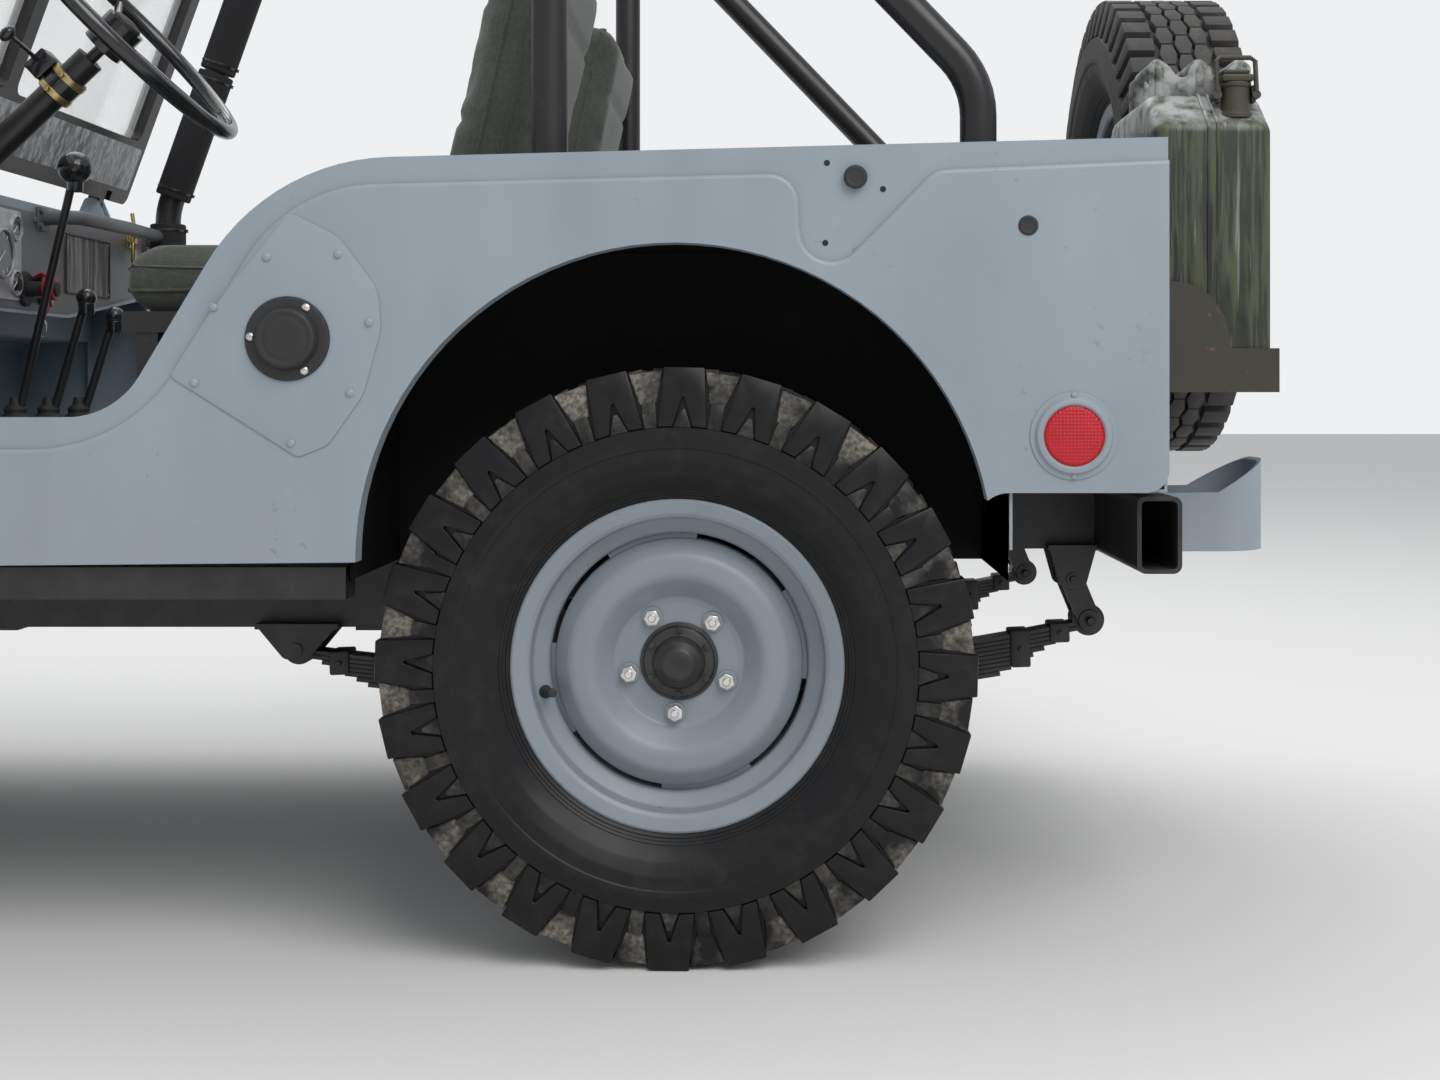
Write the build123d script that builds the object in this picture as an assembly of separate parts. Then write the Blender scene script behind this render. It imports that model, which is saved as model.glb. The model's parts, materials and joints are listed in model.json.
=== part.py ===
"""Army 4x4 car, open body with roll cage, in millimetres.

+X points forward, +Y to the car's left and +Z up. The origin lies on the ground, under the
middle of the car's length and width. Heights are above the ground.
"""
import os
from math import asin, atan2, cos, radians, sin, sqrt, tan

from build123d import *

# Overall places
WHEELBASE = 2057
REAR_AXLE_X = -855
FRONT_AXLE_X = REAR_AXLE_X + WHEELBASE
TRACK_HALF = 623
TYRE_HALF = 107.5        # widest part of the sidewall
TYRE_COVER = 29.5        # bulged lower body side, outboard of the tyre
BODY_HALF = TRACK_HALF + TYRE_HALF + TYRE_COVER
BAND_STEP = 8            # the band under the top edge lies this much further in
BULGE_ROUND = 6.5        # rounding of the pressed line under that band
UPPER_HALF = BODY_HALF - BAND_STEP
SHEET = 4                # wall of a body panel
FLANGE = 28              # turned-in edge of a body panel
RUN_GAP = 5              # least gap beside a part that moves
SEAT_GAP = 0.3           # gap where one piece rests in another

# Wheels and tyres
TYRE_R = 400
TREAD_HALF = 92
WIDEST_R = 318
LUGS = 24                # on each shoulder, those of the two sides in turn
VOID_R = 386             # floor of the tread between the lugs
VOID_HALF = 84           # half width of that floor
VOID_FOOT_R = 345        # a gap between two lugs runs out of the shoulder here
GAP_FOOT = 13            # width of a gap's foot
RIM_R = 203
FLANGE_R = 223.5
BEAD_HALF = 58           # half width between the beads, at the rim
FLANGE_T = 4
RIM_LIP = 64             # inner edge of the rim's lip
CREST = 48               # face of the dish's raised ring
DISC_R = 168
DISH_R = 82              # foot of the recess round the hub
DISH_FACE = 20           # mounting face, outboard of the rim's middle
DISC_T = 5
HUB_R = 53
HUB_END = 62
SPINDLE_R = 22
DRUM_R = 140
DRUM_IN = -64            # inboard face of the brake drum, from the rim's middle
BACKPLATE_T = 6

# Axles and steering
AXLE_TUBE_R = 38
DIFF_Y = -150
DIFF_R = 112
KINGPIN_Y = TRACK_HALF - 145
BALL_R = 46
CUP_T = 11
STEER_ARM = 175      # tie rod ahead of the kingpins
TIE_ROD_R = 14

# Chassis
RAIL_Y = 345             # middle of a side rail, rear and amidships
RAIL_FRONT_Y = 315       # middle of a side rail beside the steered wheels
RAIL_W = 50
RAIL_H = 100
RAIL_T = 5
RAIL_Z = 411             # underside amidships
RAIL_REAR_Z = 530
RAIL_FRONT_Z = 480
TUB_REAR = -642          # rear panel, ahead of the rear axle
REAR_PANEL_X = REAR_AXLE_X + TUB_REAR
BAR_X = REAR_PANEL_X - 30    # rear face of the rear crossbar
BAR_D = 60
BAR_Z0 = 524
BAR_Z1 = 627
BAR_WALL = 6
BAR_HALF = UPPER_HALF - 52
NOSE_REACH = 558         # bumper's face, ahead of the front axle
BUMPER_X = FRONT_AXLE_X + NOSE_REACH
BUMPER_D = 50
BUMPER_Z0 = 470
BUMPER_Z1 = 572
BUMPER_HALF = UPPER_HALF - 62

# Springs
SPRING_W = 45
LEAF_T = 6.5
LEAVES = 9
EYE_R = 24
LEAF_STEP = 17           # each leaf is this much shorter at both ends
LINK_T = 10              # plate of a shackle
CLIP_SHARE = 0.6

# Body
ARCH_R = 414
ARCH_Z = 546
TUB_BOTTOM = 537
TUB_REAR_Z = 635
DOOR_FRONT = 1200        # front edge of the door opening, ahead of the rear axle
COWL_FRONT = 1325        # rear edge of the bonnet, ahead of the rear axle
FLOOR_Z = 550
BED_Z = 690              # load floor over the rear axle
BED_FRONT = 340          # step up to the load floor, ahead of the rear axle
BOX_TOP = 976            # top of a wheel box
BOX_IN = 430             # inner wall of a wheel box, from the middle
BOX_FRONT = 430          # front of a wheel box, ahead of the rear axle
BOX_REAR = -440
BOX_CURVE = 260          # radius of its top front corner
TOE_X = 620
COWL_Z = 1104
COWL_EDGE_Z = 1040
BONNET_REAR_HALF = 560
BONNET_FRONT_HALF = 478
BONNET_ROUND = 46
GRILLE_X = 1352
GRILLE_D = 40
GRILLE_TOP = 1000
GRILLE_BOTTOM = 600
SLOTS = 9
LAMP_Y = 362
LAMP_Z = 858
LAMP_R = 92
PARK_Z = 700              # small lamp under each headlamp
WING_TOP = 940
WING_RISE = 10           # the wing's top is this much higher at the cowl
WING_UNDER = 8           # the wing's top reaches this far in under the bonnet's side
WING_NOSE_X = 1590
WING_NOSE_LOW = 678
WING_ARCH_R = 430
WING_ARCH_Z = 440        # middle of a front arch

# Windscreen
SCREEN_X = 395
SCREEN_Z = 1146
SCREEN_RAKE = 20
SCREEN_HALF = UPPER_HALF - 77
SCREEN_H = 645
SCREEN_D = 34
SCREEN_BAR = 42
VENT_H = 150

# Bonnet hinge
BONNET_HINGE_Z = 1114
BONNET_EYE_R = 7

# Cage
TUBE_R = 25
PAD_R = 34.5
CAGE_Y = UPPER_HALF - 112
CAGE_TOP = 1800
HOOP_BEND = 100          # the side tubes meet the hoop at this bend
HOOP_X = -678
LEG_X = -1262
LEG_BEND_Z = 1190
POST_X = 272
POST_BEND_Z = 1140
POST_LEAN = 19.5

# Seats
SEAT_Y = 355
SEAT_HALF = 215
CUSHION_FRONT = -39
CUSHION_REAR = -500
CUSHION_Z = 975
CUSHION_T = 95
BACK_T = 110
BACK_LEAN = 12.6
BACK_H = 470

# Steering wheel
WHEEL_X = 5
WHEEL_Z = 1320
WHEEL_RIM_R = 215
COLUMN_RISE = 43.5
COLUMN_R = 22

# Tail
SPARE_Y = -150
SPARE_X = REAR_AXLE_X - 798
SPARE_Z = 1060
CAN_Y = 447.5
CAN_W = 345
CAN_D = 165
CAN_Z = 775
CAN_TOP = 1186
CAN_ROUND = 24
CAN_SEAM = 3             # weld flange round the can's middle
HANDLE_Y = 465
HANDLE_HALF = 72
HANDLE_STEP = 58
HANDLE_R = 8
HANDLE_Z = 1233
CHEEK_T = 5              # side plates of the can's tray

DASH_X = REAR_AXLE_X + DOOR_FRONT
COWL_X = REAR_AXLE_X + COWL_FRONT
RAIL_TOP = RAIL_Z + RAIL_H
SIDES = (1, -1)

os.makedirs("parts", exist_ok=True)


def face_of(rows):
    """A face from rows of two places and a corner radius."""
    points = [(row[0], row[1]) for row in rows]
    return make_face(FilletPolyline(*points, radius=[row[2] for row in rows], close=True))


def across(face, y0, y1):
    """A face drawn in X and Z, made solid between two places across the car."""
    return extrude(Plane.XZ.offset(-y0) * face, y1 - y0, dir=(0, 1, 0))


def along(face, x0, x1):
    """A face drawn in Y and Z, made solid between two places along the car."""
    return extrude(Plane.YZ.offset(x0) * face, x1 - x0, dir=(1, 0, 0))


def upward(face, z0, z1):
    """A face drawn in X and Y, made solid between two heights."""
    return extrude(Pos(0, 0, z0) * face, z1 - z0, dir=(0, 0, 1))


def block(x0, x1, y0, y1, z0, z1):
    return Pos((x0 + x1) / 2, (y0 + y1) / 2, (z0 + z1) / 2) * Box(x1 - x0, y1 - y0, z1 - z0)


def bar(start, end, radius):
    """A round bar from one point to another."""
    run = Vector(*end) - Vector(*start)
    return extrude(Plane(origin=start, z_dir=run) * Circle(radius), run.length)


def tube_path(points, radii, radius):
    """A round tube along straight runs joined by arcs."""
    path = FilletPolyline(*points, radius=radii)
    start = Plane(origin=path @ 0, z_dir=path % 0)
    return sweep(start * Circle(radius), path=path)


def lathe(rows):
    """A solid turned about the Y axis from rows of distance along it and radius."""
    section = Plane.XY * Polygon(*[(radius, y) for y, radius in rows], align=None)
    return revolve(section, Axis.Y)


def mirrored(piece):
    return mirror(piece, about=Plane.XZ)


def save(name, *pieces):
    solids = [solid for piece in pieces for solid in piece.solids()]
    shape = solids[0] if len(solids) == 1 else Compound(solids)
    export_step(shape, f"parts/{name}.step")


# Tyres and wheels, about the Y axis at the origin with the outboard side to +Y. A tyre has flat
# sides, two to a lug, so that its lugs stay cheap to draw
TYRE_SIDES = 2 * LUGS


def ring(y, radius):
    """A flat-sided ring at one place along the axle, with a flat at the top."""
    flats = RegularPolygon(radius, TYRE_SIDES, major_radius=False, rotation=180 / TYRE_SIDES)
    return Plane.XZ.offset(-y) * flats


def between(inner, outer):
    """The solid between two flat-sided rings, each a place along the axle and a radius."""
    return loft([ring(*inner), ring(*outer)], ruled=True)


def plain_tyre():
    """Tyre without its tread: bead, sidewalls and shoulders."""
    body = across(RegularPolygon(TYRE_R, TYRE_SIDES, major_radius=False, rotation=180 / TYRE_SIDES), -TREAD_HALF, TREAD_HALF)
    bore = across(RegularPolygon(RIM_R, TYRE_SIDES, major_radius=False, rotation=180 / TYRE_SIDES), -BEAD_HALF, BEAD_HALF)
    for side in SIDES:
        body += between((side * TREAD_HALF, TYRE_R), (side * TYRE_HALF, WIDEST_R))
        bore += between((side * BEAD_HALF, RIM_R), (side * TYRE_HALF, WIDEST_R))
    return body - bore


def lug_gap():
    """What is cut between two lugs of the left shoulder, at the top of the tyre."""
    flank_x = TYRE_R * tan(radians(180 / TYRE_SIDES))
    open_r = TYRE_R + 30
    spread = (flank_x - GAP_FOOT / 2) / (TYRE_R - VOID_FOOT_R)
    open_x = flank_x + spread * (open_r - TYRE_R)
    front = Polygon((-GAP_FOOT / 2, VOID_FOOT_R), (GAP_FOOT / 2, VOID_FOOT_R), (open_x, open_r), (-open_x, open_r), align=None)
    foot_y = TYRE_HALF - (TYRE_HALF - TREAD_HALF) * (VOID_FOOT_R - WIDEST_R) / (TYRE_R - WIDEST_R)
    side_on = Polygon((0, VOID_R), (VOID_HALF, VOID_R), (foot_y, VOID_FOOT_R), (TYRE_HALF + 20, VOID_FOOT_R),
                      (TYRE_HALF + 20, open_r), (0, open_r), align=None)
    return across(front, 0, TYRE_HALF + 20) & along(side_on, -open_x, open_x)


def lugged_tyre():
    """Tyre with the gaps between its lugs cut."""
    gap = lug_gap()
    pitch = 360 / LUGS
    gaps = [Rot(0, pitch * (index + 0.5), 0) * gap for index in range(LUGS)]
    gaps += [Rot(0, pitch * index, 0) * mirrored(gap) for index in range(LUGS)]
    return plain_tyre() - gaps


SIDEWALL_LEAN = (TYRE_HALF - BEAD_HALF) / (WIDEST_R - RIM_R)
FLANGE_Y = BEAD_HALF + SIDEWALL_LEAN * (FLANGE_R - RIM_R) + SEAT_GAP
RIM_OUTER = [
    # distance from the rim's middle, radius
    (-FLANGE_Y, FLANGE_R),
    (-BEAD_HALF - SEAT_GAP, RIM_R - SEAT_GAP),
    (BEAD_HALF + SEAT_GAP, RIM_R - SEAT_GAP),
    (FLANGE_Y, FLANGE_R),
    (FLANGE_Y + FLANGE_T, FLANGE_R),
    (RIM_LIP, RIM_R + 4),
]
WELL_Y = 30
WELL_R = 182
DISH_FRONT = [
    (WELL_Y - 6, DISC_R),
    (CREST, 142),
    (CREST, 114),
    (DISH_FACE, DISH_R),
    (DISH_FACE, HUB_R - 20),
    (DISH_FACE - DISC_T, HUB_R - 20),
    (DISH_FACE - DISC_T, DISH_R + 3),
    (CREST - DISC_T, 117),
    (CREST - DISC_T, 139),
    (WELL_Y - 6 - DISC_T, DISC_R + 4),
]


SLOT_R0, SLOT_R1 = 169, 179    # slots between disc and rim
SLOT_SWEEP = 41          # degrees
SLOT_START = 74.5        # degrees to the first slot's end


def rim_and_dish():
    """Rim with its dished disc, welded in the well between four slots."""
    well = [(WELL_Y, WELL_R)] + DISH_FRONT + [(0, WELL_R)]
    form = lathe(RIM_OUTER + well + [(-RIM_LIP, RIM_R - 6), (-FLANGE_Y - FLANGE_T, FLANGE_R)])
    section = Plane.XY * Polygon((SLOT_R0, -RIM_LIP), (SLOT_R1, -RIM_LIP), (SLOT_R1, CREST), (SLOT_R0, CREST), align=None)
    slot = revolve(section, Axis.Y, revolution_arc=SLOT_SWEEP)
    return form - [Rot(0, SLOT_START + 90 * index, 0) * slot for index in range(4)]


def wheel(bore_from):
    """Rim, dish, hub and drum in one, with a blind bore for the spindle."""
    hub = lathe([
        (DRUM_IN, DRUM_R),
        (DISH_FACE - DISC_T - 10, DRUM_R - 20),
        (DISH_FACE - DISC_T - 10, HUB_R),
        (DISH_FACE + 16, HUB_R),
        (HUB_END, HUB_R - 20),
        (HUB_END, 0),
        (bore_from, 0),
        (bore_from, SPINDLE_R + SEAT_GAP),
        (DRUM_IN, SPINDLE_R + SEAT_GAP),
    ])
    return rim_and_dish() + hub


SPINDLE_END = DISH_FACE + 10
WHEEL = wheel(SPINDLE_END + 2)
TYRE = lugged_tyre()

WHEEL_PLACES = (
    ("front_left", FRONT_AXLE_X, 1),
    ("front_right", FRONT_AXLE_X, -1),
    ("rear_left", REAR_AXLE_X, 1),
    ("rear_right", REAR_AXLE_X, -1),
)
for place, axle_x, side in WHEEL_PLACES:
    spot = Pos(axle_x, side * TRACK_HALF, TYRE_R)
    turned = Rot(0, 0, 0 if side > 0 else 180)
    save(f"wheel_{place}", spot * turned * WHEEL)
    save(f"tyre_{place}", spot * turned * TYRE)


# Spare wheel and tyre, dish facing back
SPARE_SPOT = Pos(SPARE_X, SPARE_Y, SPARE_Z) * Rot(0, 0, 90)
save("spare_wheel", SPARE_SPOT * rim_and_dish())
save("spare_tyre", SPARE_SPOT * plain_tyre())


# Axles
def diff_housing(axle_x, nose):
    """Round banjo with a pinion nose that points along the car."""
    ball = Pos(axle_x, DIFF_Y, TYRE_R) * Sphere(DIFF_R)
    snout = bar((axle_x, DIFF_Y, TYRE_R), (axle_x + nose * 210, DIFF_Y, TYRE_R + 18), 52)
    return ball + snout


def stub(axle_x, side, from_y):
    """Backing plate and spindle at one end of an axle."""
    plate_y = TRACK_HALF + DRUM_IN - RUN_GAP
    plate = bar((axle_x, side * (plate_y - BACKPLATE_T), TYRE_R), (axle_x, side * plate_y, TYRE_R), DRUM_R)
    neck = bar((axle_x, side * from_y, TYRE_R), (axle_x, side * plate_y, TYRE_R), AXLE_TUBE_R)
    pin_end = TRACK_HALF + SPINDLE_END
    pin = bar((axle_x, side * (plate_y - 1), TYRE_R), (axle_x, side * pin_end, TYRE_R), SPINDLE_R)
    return plate + neck + pin


PERCH_Z = TYRE_R - AXLE_TUBE_R - 10
REAR_SPRING_TILT = 2.1   # degrees, the rear end up


def perches(axle_x, spring_y, tilt=0):
    """Spring seats under the axle tube."""
    turn = Pos(axle_x, 0, PERCH_Z) * Rot(0, tilt, 0) * Pos(-axle_x, 0, -PERCH_Z)
    seats = [
        turn * block(axle_x - 55, axle_x + 55, side * spring_y - 28, side * spring_y + 28, PERCH_Z, TYRE_R)
        for side in SIDES
    ]
    return seats[0] + seats[1]


rear_axle = bar((REAR_AXLE_X, -500, TYRE_R), (REAR_AXLE_X, 500, TYRE_R), AXLE_TUBE_R)
rear_axle += diff_housing(REAR_AXLE_X, 1) + perches(REAR_AXLE_X, RAIL_Y + 15, REAR_SPRING_TILT)
for side in SIDES:
    rear_axle += stub(REAR_AXLE_X, side, 490)
save("rear_axle", rear_axle)

front_axle = bar((FRONT_AXLE_X, -KINGPIN_Y, TYRE_R), (FRONT_AXLE_X, KINGPIN_Y, TYRE_R), AXLE_TUBE_R)
front_axle += diff_housing(FRONT_AXLE_X, -1) + perches(FRONT_AXLE_X, RAIL_FRONT_Y)
for side in SIDES:
    front_axle += Pos(FRONT_AXLE_X, side * KINGPIN_Y, TYRE_R) * Sphere(BALL_R)
save("front_axle", front_axle)


# Knuckles, each a cup round the axle's ball, with a steering arm ahead of the axle
CUP_IN = BALL_R + 0.5
CUP_OUT = CUP_IN + CUP_T
ARM_LOW = TYRE_R + 2
ARM_T = 12


def knuckle():
    """Left knuckle: cup, kingpin bosses, steering arm, backing plate and spindle."""
    centre = Pos(FRONT_AXLE_X, KINGPIN_Y, TYRE_R)
    keep = block(FRONT_AXLE_X - 90, FRONT_AXLE_X + 90, KINGPIN_Y - 6, KINGPIN_Y + 90, TYRE_R - 90, TYRE_R + 90)
    body = (centre * Sphere(CUP_OUT)) & keep
    body += stub(FRONT_AXLE_X, 1, KINGPIN_Y + 20)
    for end in SIDES:
        boss = (FRONT_AXLE_X, KINGPIN_Y, TYRE_R + end * (CUP_OUT - 4))
        tip = (FRONT_AXLE_X, KINGPIN_Y, TYRE_R + end * (CUP_OUT + 14))
        body += bar(boss, tip, 17)
    arm = face_of([
        (FRONT_AXLE_X + STEER_ARM + 18, KINGPIN_Y - 18, 14),
        (FRONT_AXLE_X + STEER_ARM + 18, KINGPIN_Y + 18, 14),
        (FRONT_AXLE_X + 30, KINGPIN_Y + 34, 0),
        (FRONT_AXLE_X + 30, KINGPIN_Y - 4, 0),
    ])
    body += upward(arm, ARM_LOW, ARM_LOW + ARM_T)
    return body - centre * Sphere(CUP_IN)


KNUCKLE = knuckle()
save("knuckle_left", KNUCKLE)
save("knuckle_right", mirrored(KNUCKLE))

# Tie rod under the arms, with an eye on each end
rod_x = FRONT_AXLE_X + STEER_ARM
rod_z = ARM_LOW - TIE_ROD_R - 4
tie_rod = bar((rod_x, -KINGPIN_Y, rod_z), (rod_x, KINGPIN_Y, rod_z), TIE_ROD_R)
for side in SIDES:
    end_y = side * KINGPIN_Y
    tie_rod += bar((rod_x, end_y, rod_z - 18), (rod_x, end_y, ARM_LOW - SEAT_GAP), 15)
save("tie_rod", tie_rod)


# Leaf springs
def leaf(middle_x, low_z, bend_r, level, half_length):
    """One curved leaf, level 0 on top, as a strip between two arcs."""
    centre_z = low_z + bend_r
    inner = bend_r + level * LEAF_T
    outer = inner + LEAF_T
    swing = asin(half_length / inner)

    def at(radius, turn):
        return (middle_x + radius * sin(turn), centre_z - radius * cos(turn))

    edges = [
        ThreePointArc(at(inner, -swing), at(inner, 0), at(inner, swing)),
        Line(at(inner, swing), at(outer, swing)),
        ThreePointArc(at(outer, swing), at(outer, 0), at(outer, -swing)),
        Line(at(outer, -swing), at(inner, -swing)),
    ]
    return make_face(edges)


def spring(front_x, rear_x, end_z, spring_y, shackle, shackle_eye, tilt=0):
    """Leaf pack with eyes, clips, U-bolt plate and the links of its shackle.

    The eyes are given for a level pack, which is then tilted about its middle.
    """
    middle_x = (front_x + rear_x) / 2
    half = (front_x - rear_x) / 2
    low_z = PERCH_Z - 1
    sag = end_z - low_z
    bend_r = (half * half + sag * sag) / (2 * sag)
    y0, y1 = spring_y - SPRING_W / 2, spring_y + SPRING_W / 2
    pack = None
    for level in range(LEAVES):
        reach = half - level * LEAF_STEP
        piece = across(leaf(middle_x, low_z, bend_r, level, reach), y0, y1)
        pack = piece if pack is None else pack + piece
    for eye_x in (front_x, rear_x):
        pack += bar((eye_x, y0, end_z), (eye_x, y1, end_z), EYE_R)
    for share in (-CLIP_SHARE, CLIP_SHARE):
        clip_x = middle_x + share * half
        top = low_z + bend_r - sqrt(bend_r ** 2 - (share * half) ** 2)
        pack += block(clip_x - 13, clip_x + 13, y0 - 4, y1 + 4, top - LEAVES * LEAF_T - 3, top + 5)
    foot = low_z - LEAVES * LEAF_T
    pack += block(middle_x - 60, middle_x + 60, y0 - 14, y1 + 14, foot - 12, foot + 2)
    pack = Pos(middle_x, 0, PERCH_Z) * Rot(0, tilt, 0) * Pos(-middle_x, 0, -PERCH_Z) * pack
    link_x, link_z = shackle
    eye = tilted((front_x if shackle_eye > 0 else rear_x, end_z), middle_x, tilt)
    for side in SIDES:
        edge = spring_y + side * (SPRING_W + LINK_T) / 2
        pack += across(face_of(strap(eye, (link_x, link_z), 17)), edge - LINK_T / 2, edge + LINK_T / 2)
    pack += bar((link_x, y0 - LINK_T, link_z), (link_x, y1 + LINK_T, link_z), 10)
    return pack


def tilted(point, middle_x, tilt):
    """Where a point in X and Z goes when a spring is tilted about its seat."""
    turn = radians(tilt)
    run, rise = point[0] - middle_x, point[1] - PERCH_Z
    return (middle_x + run * cos(turn) + rise * sin(turn), PERCH_Z - run * sin(turn) + rise * cos(turn))


def strap(start, end, half_width):
    """Rows of a flat link with rounded ends between two points in X and Z."""
    turn = atan2(end[1] - start[1], end[0] - start[0])
    ax, az = cos(turn) * half_width, sin(turn) * half_width
    ends = ((start, -1), (start, -1), (end, 1), (end, 1))
    sides = (1, -1, -1, 1)
    return [
        (point[0] + push * ax - lean * az, point[1] + push * az + lean * ax, half_width * 0.9)
        for (point, push), lean in zip(ends, sides)
    ]


REAR_SPRING_Y = RAIL_Y + 15
REAR_EYE_FRONT = REAR_AXLE_X + 585
REAR_EYE_REAR = REAR_AXLE_X - 603
REAR_EYE_Z = 402
REAR_PIN = tilted((REAR_EYE_FRONT, REAR_EYE_Z), (REAR_EYE_FRONT + REAR_EYE_REAR) / 2, REAR_SPRING_TILT)
REAR_SHACKLE = (REAR_AXLE_X - 575, 486)
FRONT_EYE_FRONT = FRONT_AXLE_X + 455
FRONT_EYE_REAR = FRONT_AXLE_X - 455
FRONT_EYE_Z = 386
FRONT_SHACKLE = (FRONT_AXLE_X + 440, 445)

springs = []
for side in SIDES:
    springs.append(spring(REAR_EYE_FRONT, REAR_EYE_REAR, REAR_EYE_Z, side * REAR_SPRING_Y, REAR_SHACKLE, -1, REAR_SPRING_TILT))
    springs.append(spring(FRONT_EYE_FRONT, FRONT_EYE_REAR, FRONT_EYE_Z, side * RAIL_FRONT_Y, FRONT_SHACKLE, 1))
save("leaf_springs", *springs)


# Chassis frame
def rail_side():
    """Side view of a rail: rows along its top from the back, then along its underside."""
    rear_x, front_x = BAR_X + BAR_D, BUMPER_X - BUMPER_D
    top = [
        (rear_x, RAIL_REAR_Z + RAIL_H - 10, 0),
        (REAR_AXLE_X - 250, RAIL_REAR_Z + RAIL_H, 90),
        (REAR_AXLE_X + 100, RAIL_REAR_Z + RAIL_H, 160),
        (REAR_AXLE_X + 340, RAIL_TOP, 160),
        (FRONT_AXLE_X - 420, RAIL_TOP, 200),
        (FRONT_AXLE_X - 160, RAIL_FRONT_Z + RAIL_H, 200),
        (front_x, RAIL_FRONT_Z + RAIL_H - 10, 0),
    ]
    lower = [
        (front_x, RAIL_FRONT_Z, 0),
        (FRONT_AXLE_X - 140, RAIL_FRONT_Z, 200),
        (FRONT_AXLE_X - 400, RAIL_Z, 200),
        (REAR_AXLE_X + 320, RAIL_Z, 160),
        (REAR_AXLE_X + 80, RAIL_REAR_Z - 5, 160),
        (rear_x, RAIL_REAR_Z, 0),
    ]
    return face_of(top + lower)


def rail(side):
    """Open channel, web outboard, that steps in beside the steered wheels."""
    profile = rail_side()
    inner = offset(profile, amount=-RAIL_T)
    step_x = FRONT_AXLE_X - 480
    outer_y = RAIL_Y + RAIL_W / 2
    front_y = RAIL_FRONT_Y + RAIL_W / 2
    plan = face_of([
        (-2000, outer_y - RAIL_W, 0), (step_x - 160, outer_y - RAIL_W, 300),
        (step_x, front_y - RAIL_W, 300), (2000, front_y - RAIL_W, 0),
        (2000, front_y, 0), (step_x, front_y, 300),
        (step_x - 160, outer_y, 300), (-2000, outer_y, 0),
    ])
    hollow = face_of([
        (-2100, outer_y - RAIL_W - 9, 0), (step_x - 160, outer_y - RAIL_W - 9, 300),
        (step_x, front_y - RAIL_W - 9, 300), (2100, front_y - RAIL_W - 9, 0),
        (2100, front_y - RAIL_T, 0), (step_x, front_y - RAIL_T, 300),
        (step_x - 160, outer_y - RAIL_T, 300), (-2100, outer_y - RAIL_T, 0),
    ])
    low, high = 300, 800
    beam = across(profile, 200, 450) & upward(plan, low, high)
    core = across(inner, 200, 450) & upward(hollow, low, high)
    beam = beam - core
    return beam if side > 0 else mirrored(beam)


# Cross members: tubes between the rails' webs, and flat beams bolted under them
CROSS_TUBES = (
    # x, z, middle of the rails there
    (FRONT_AXLE_X + 330, RAIL_FRONT_Z + RAIL_H / 2, RAIL_FRONT_Y),
    (REAR_AXLE_X - 200, RAIL_REAR_Z + RAIL_H / 2, RAIL_Y),
)
CROSS_TUBE_R = 28
BEAM_T = 8
GEARBOX_X = 230          # beam under the gearbox, with its rubber mount
GEARBOX_LOW = 425
MOUNT_HALF = 60
cross = []
for x, z, rail_y in CROSS_TUBES:
    half = rail_y + RAIL_W / 2 - RAIL_T - SEAT_GAP
    cross.append(bar((x, -half, z), (x, half, z), CROSS_TUBE_R))
beam_z = RAIL_Z - SEAT_GAP
for beam_x, beam_half in ((REAR_AXLE_X + 470, 40), (GEARBOX_X, 60)):
    cross.append(block(beam_x - beam_half, beam_x + beam_half, -RAIL_Y, RAIL_Y, beam_z - BEAM_T, beam_z))
cross.append(block(GEARBOX_X - 30, GEARBOX_X + 30, -MOUNT_HALF, MOUNT_HALF, beam_z + SEAT_GAP, GEARBOX_LOW - SEAT_GAP))
save("cross_members", *cross)

frame_rails = []
MOUNT_XS = (-330, 60, 420)
for side in SIDES:
    frame = rail(side)
    for x in MOUNT_XS:
        frame += bar((x, side * RAIL_Y, RAIL_TOP - 2), (x, side * RAIL_Y, FLOOR_Z - SHEET), 22)
    hangers = (
        # eye x, eye z, underside of the rail, spring place across, half width at the rail, half of what it holds
        (REAR_PIN[0], REAR_PIN[1], RAIL_Z, REAR_SPRING_Y, 62, SPRING_W / 2),
        (FRONT_EYE_REAR, FRONT_EYE_Z, RAIL_Z, RAIL_FRONT_Y, 62, SPRING_W / 2),
        (REAR_SHACKLE[0], REAR_SHACKLE[1], RAIL_REAR_Z - 1, REAR_SPRING_Y, 36, SPRING_W / 2 + LINK_T),
        (FRONT_SHACKLE[0], FRONT_SHACKLE[1], RAIL_FRONT_Z, RAIL_FRONT_Y, 48, SPRING_W / 2 + LINK_T),
    )
    for x, z, top, y, half, held in hangers:
        for edge in SIDES:
            plate_y = side * y + edge * (SPRING_W / 2 + 14.5)
            ear = face_of([(x - half, top + 8, 0), (x - 18, z - 14, 13), (x + 18, z - 14, 13), (x + half, top + 8, 0)])
            frame += across(ear, plate_y - 3, plate_y + 3)
            pin_y = side * y + edge * (held + SEAT_GAP)
            frame += bar((x, pin_y, z), (x, plate_y + edge * 6, z), 10)
        frame += block(x - half, x + half, side * y - SPRING_W / 2 - 17.5, side * y + SPRING_W / 2 + 17.5,
                       top, top + 8)
    mount_x = GRILLE_X - GRILLE_D / 2
    frame += bar((mount_x, side * RAIL_FRONT_Y, RAIL_FRONT_Z + RAIL_H - 12),
                 (mount_x, side * RAIL_FRONT_Y, GRILLE_BOTTOM - SEAT_GAP), 18)
    frame_rails.append(frame)
save("chassis_frame", *frame_rails)


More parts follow.
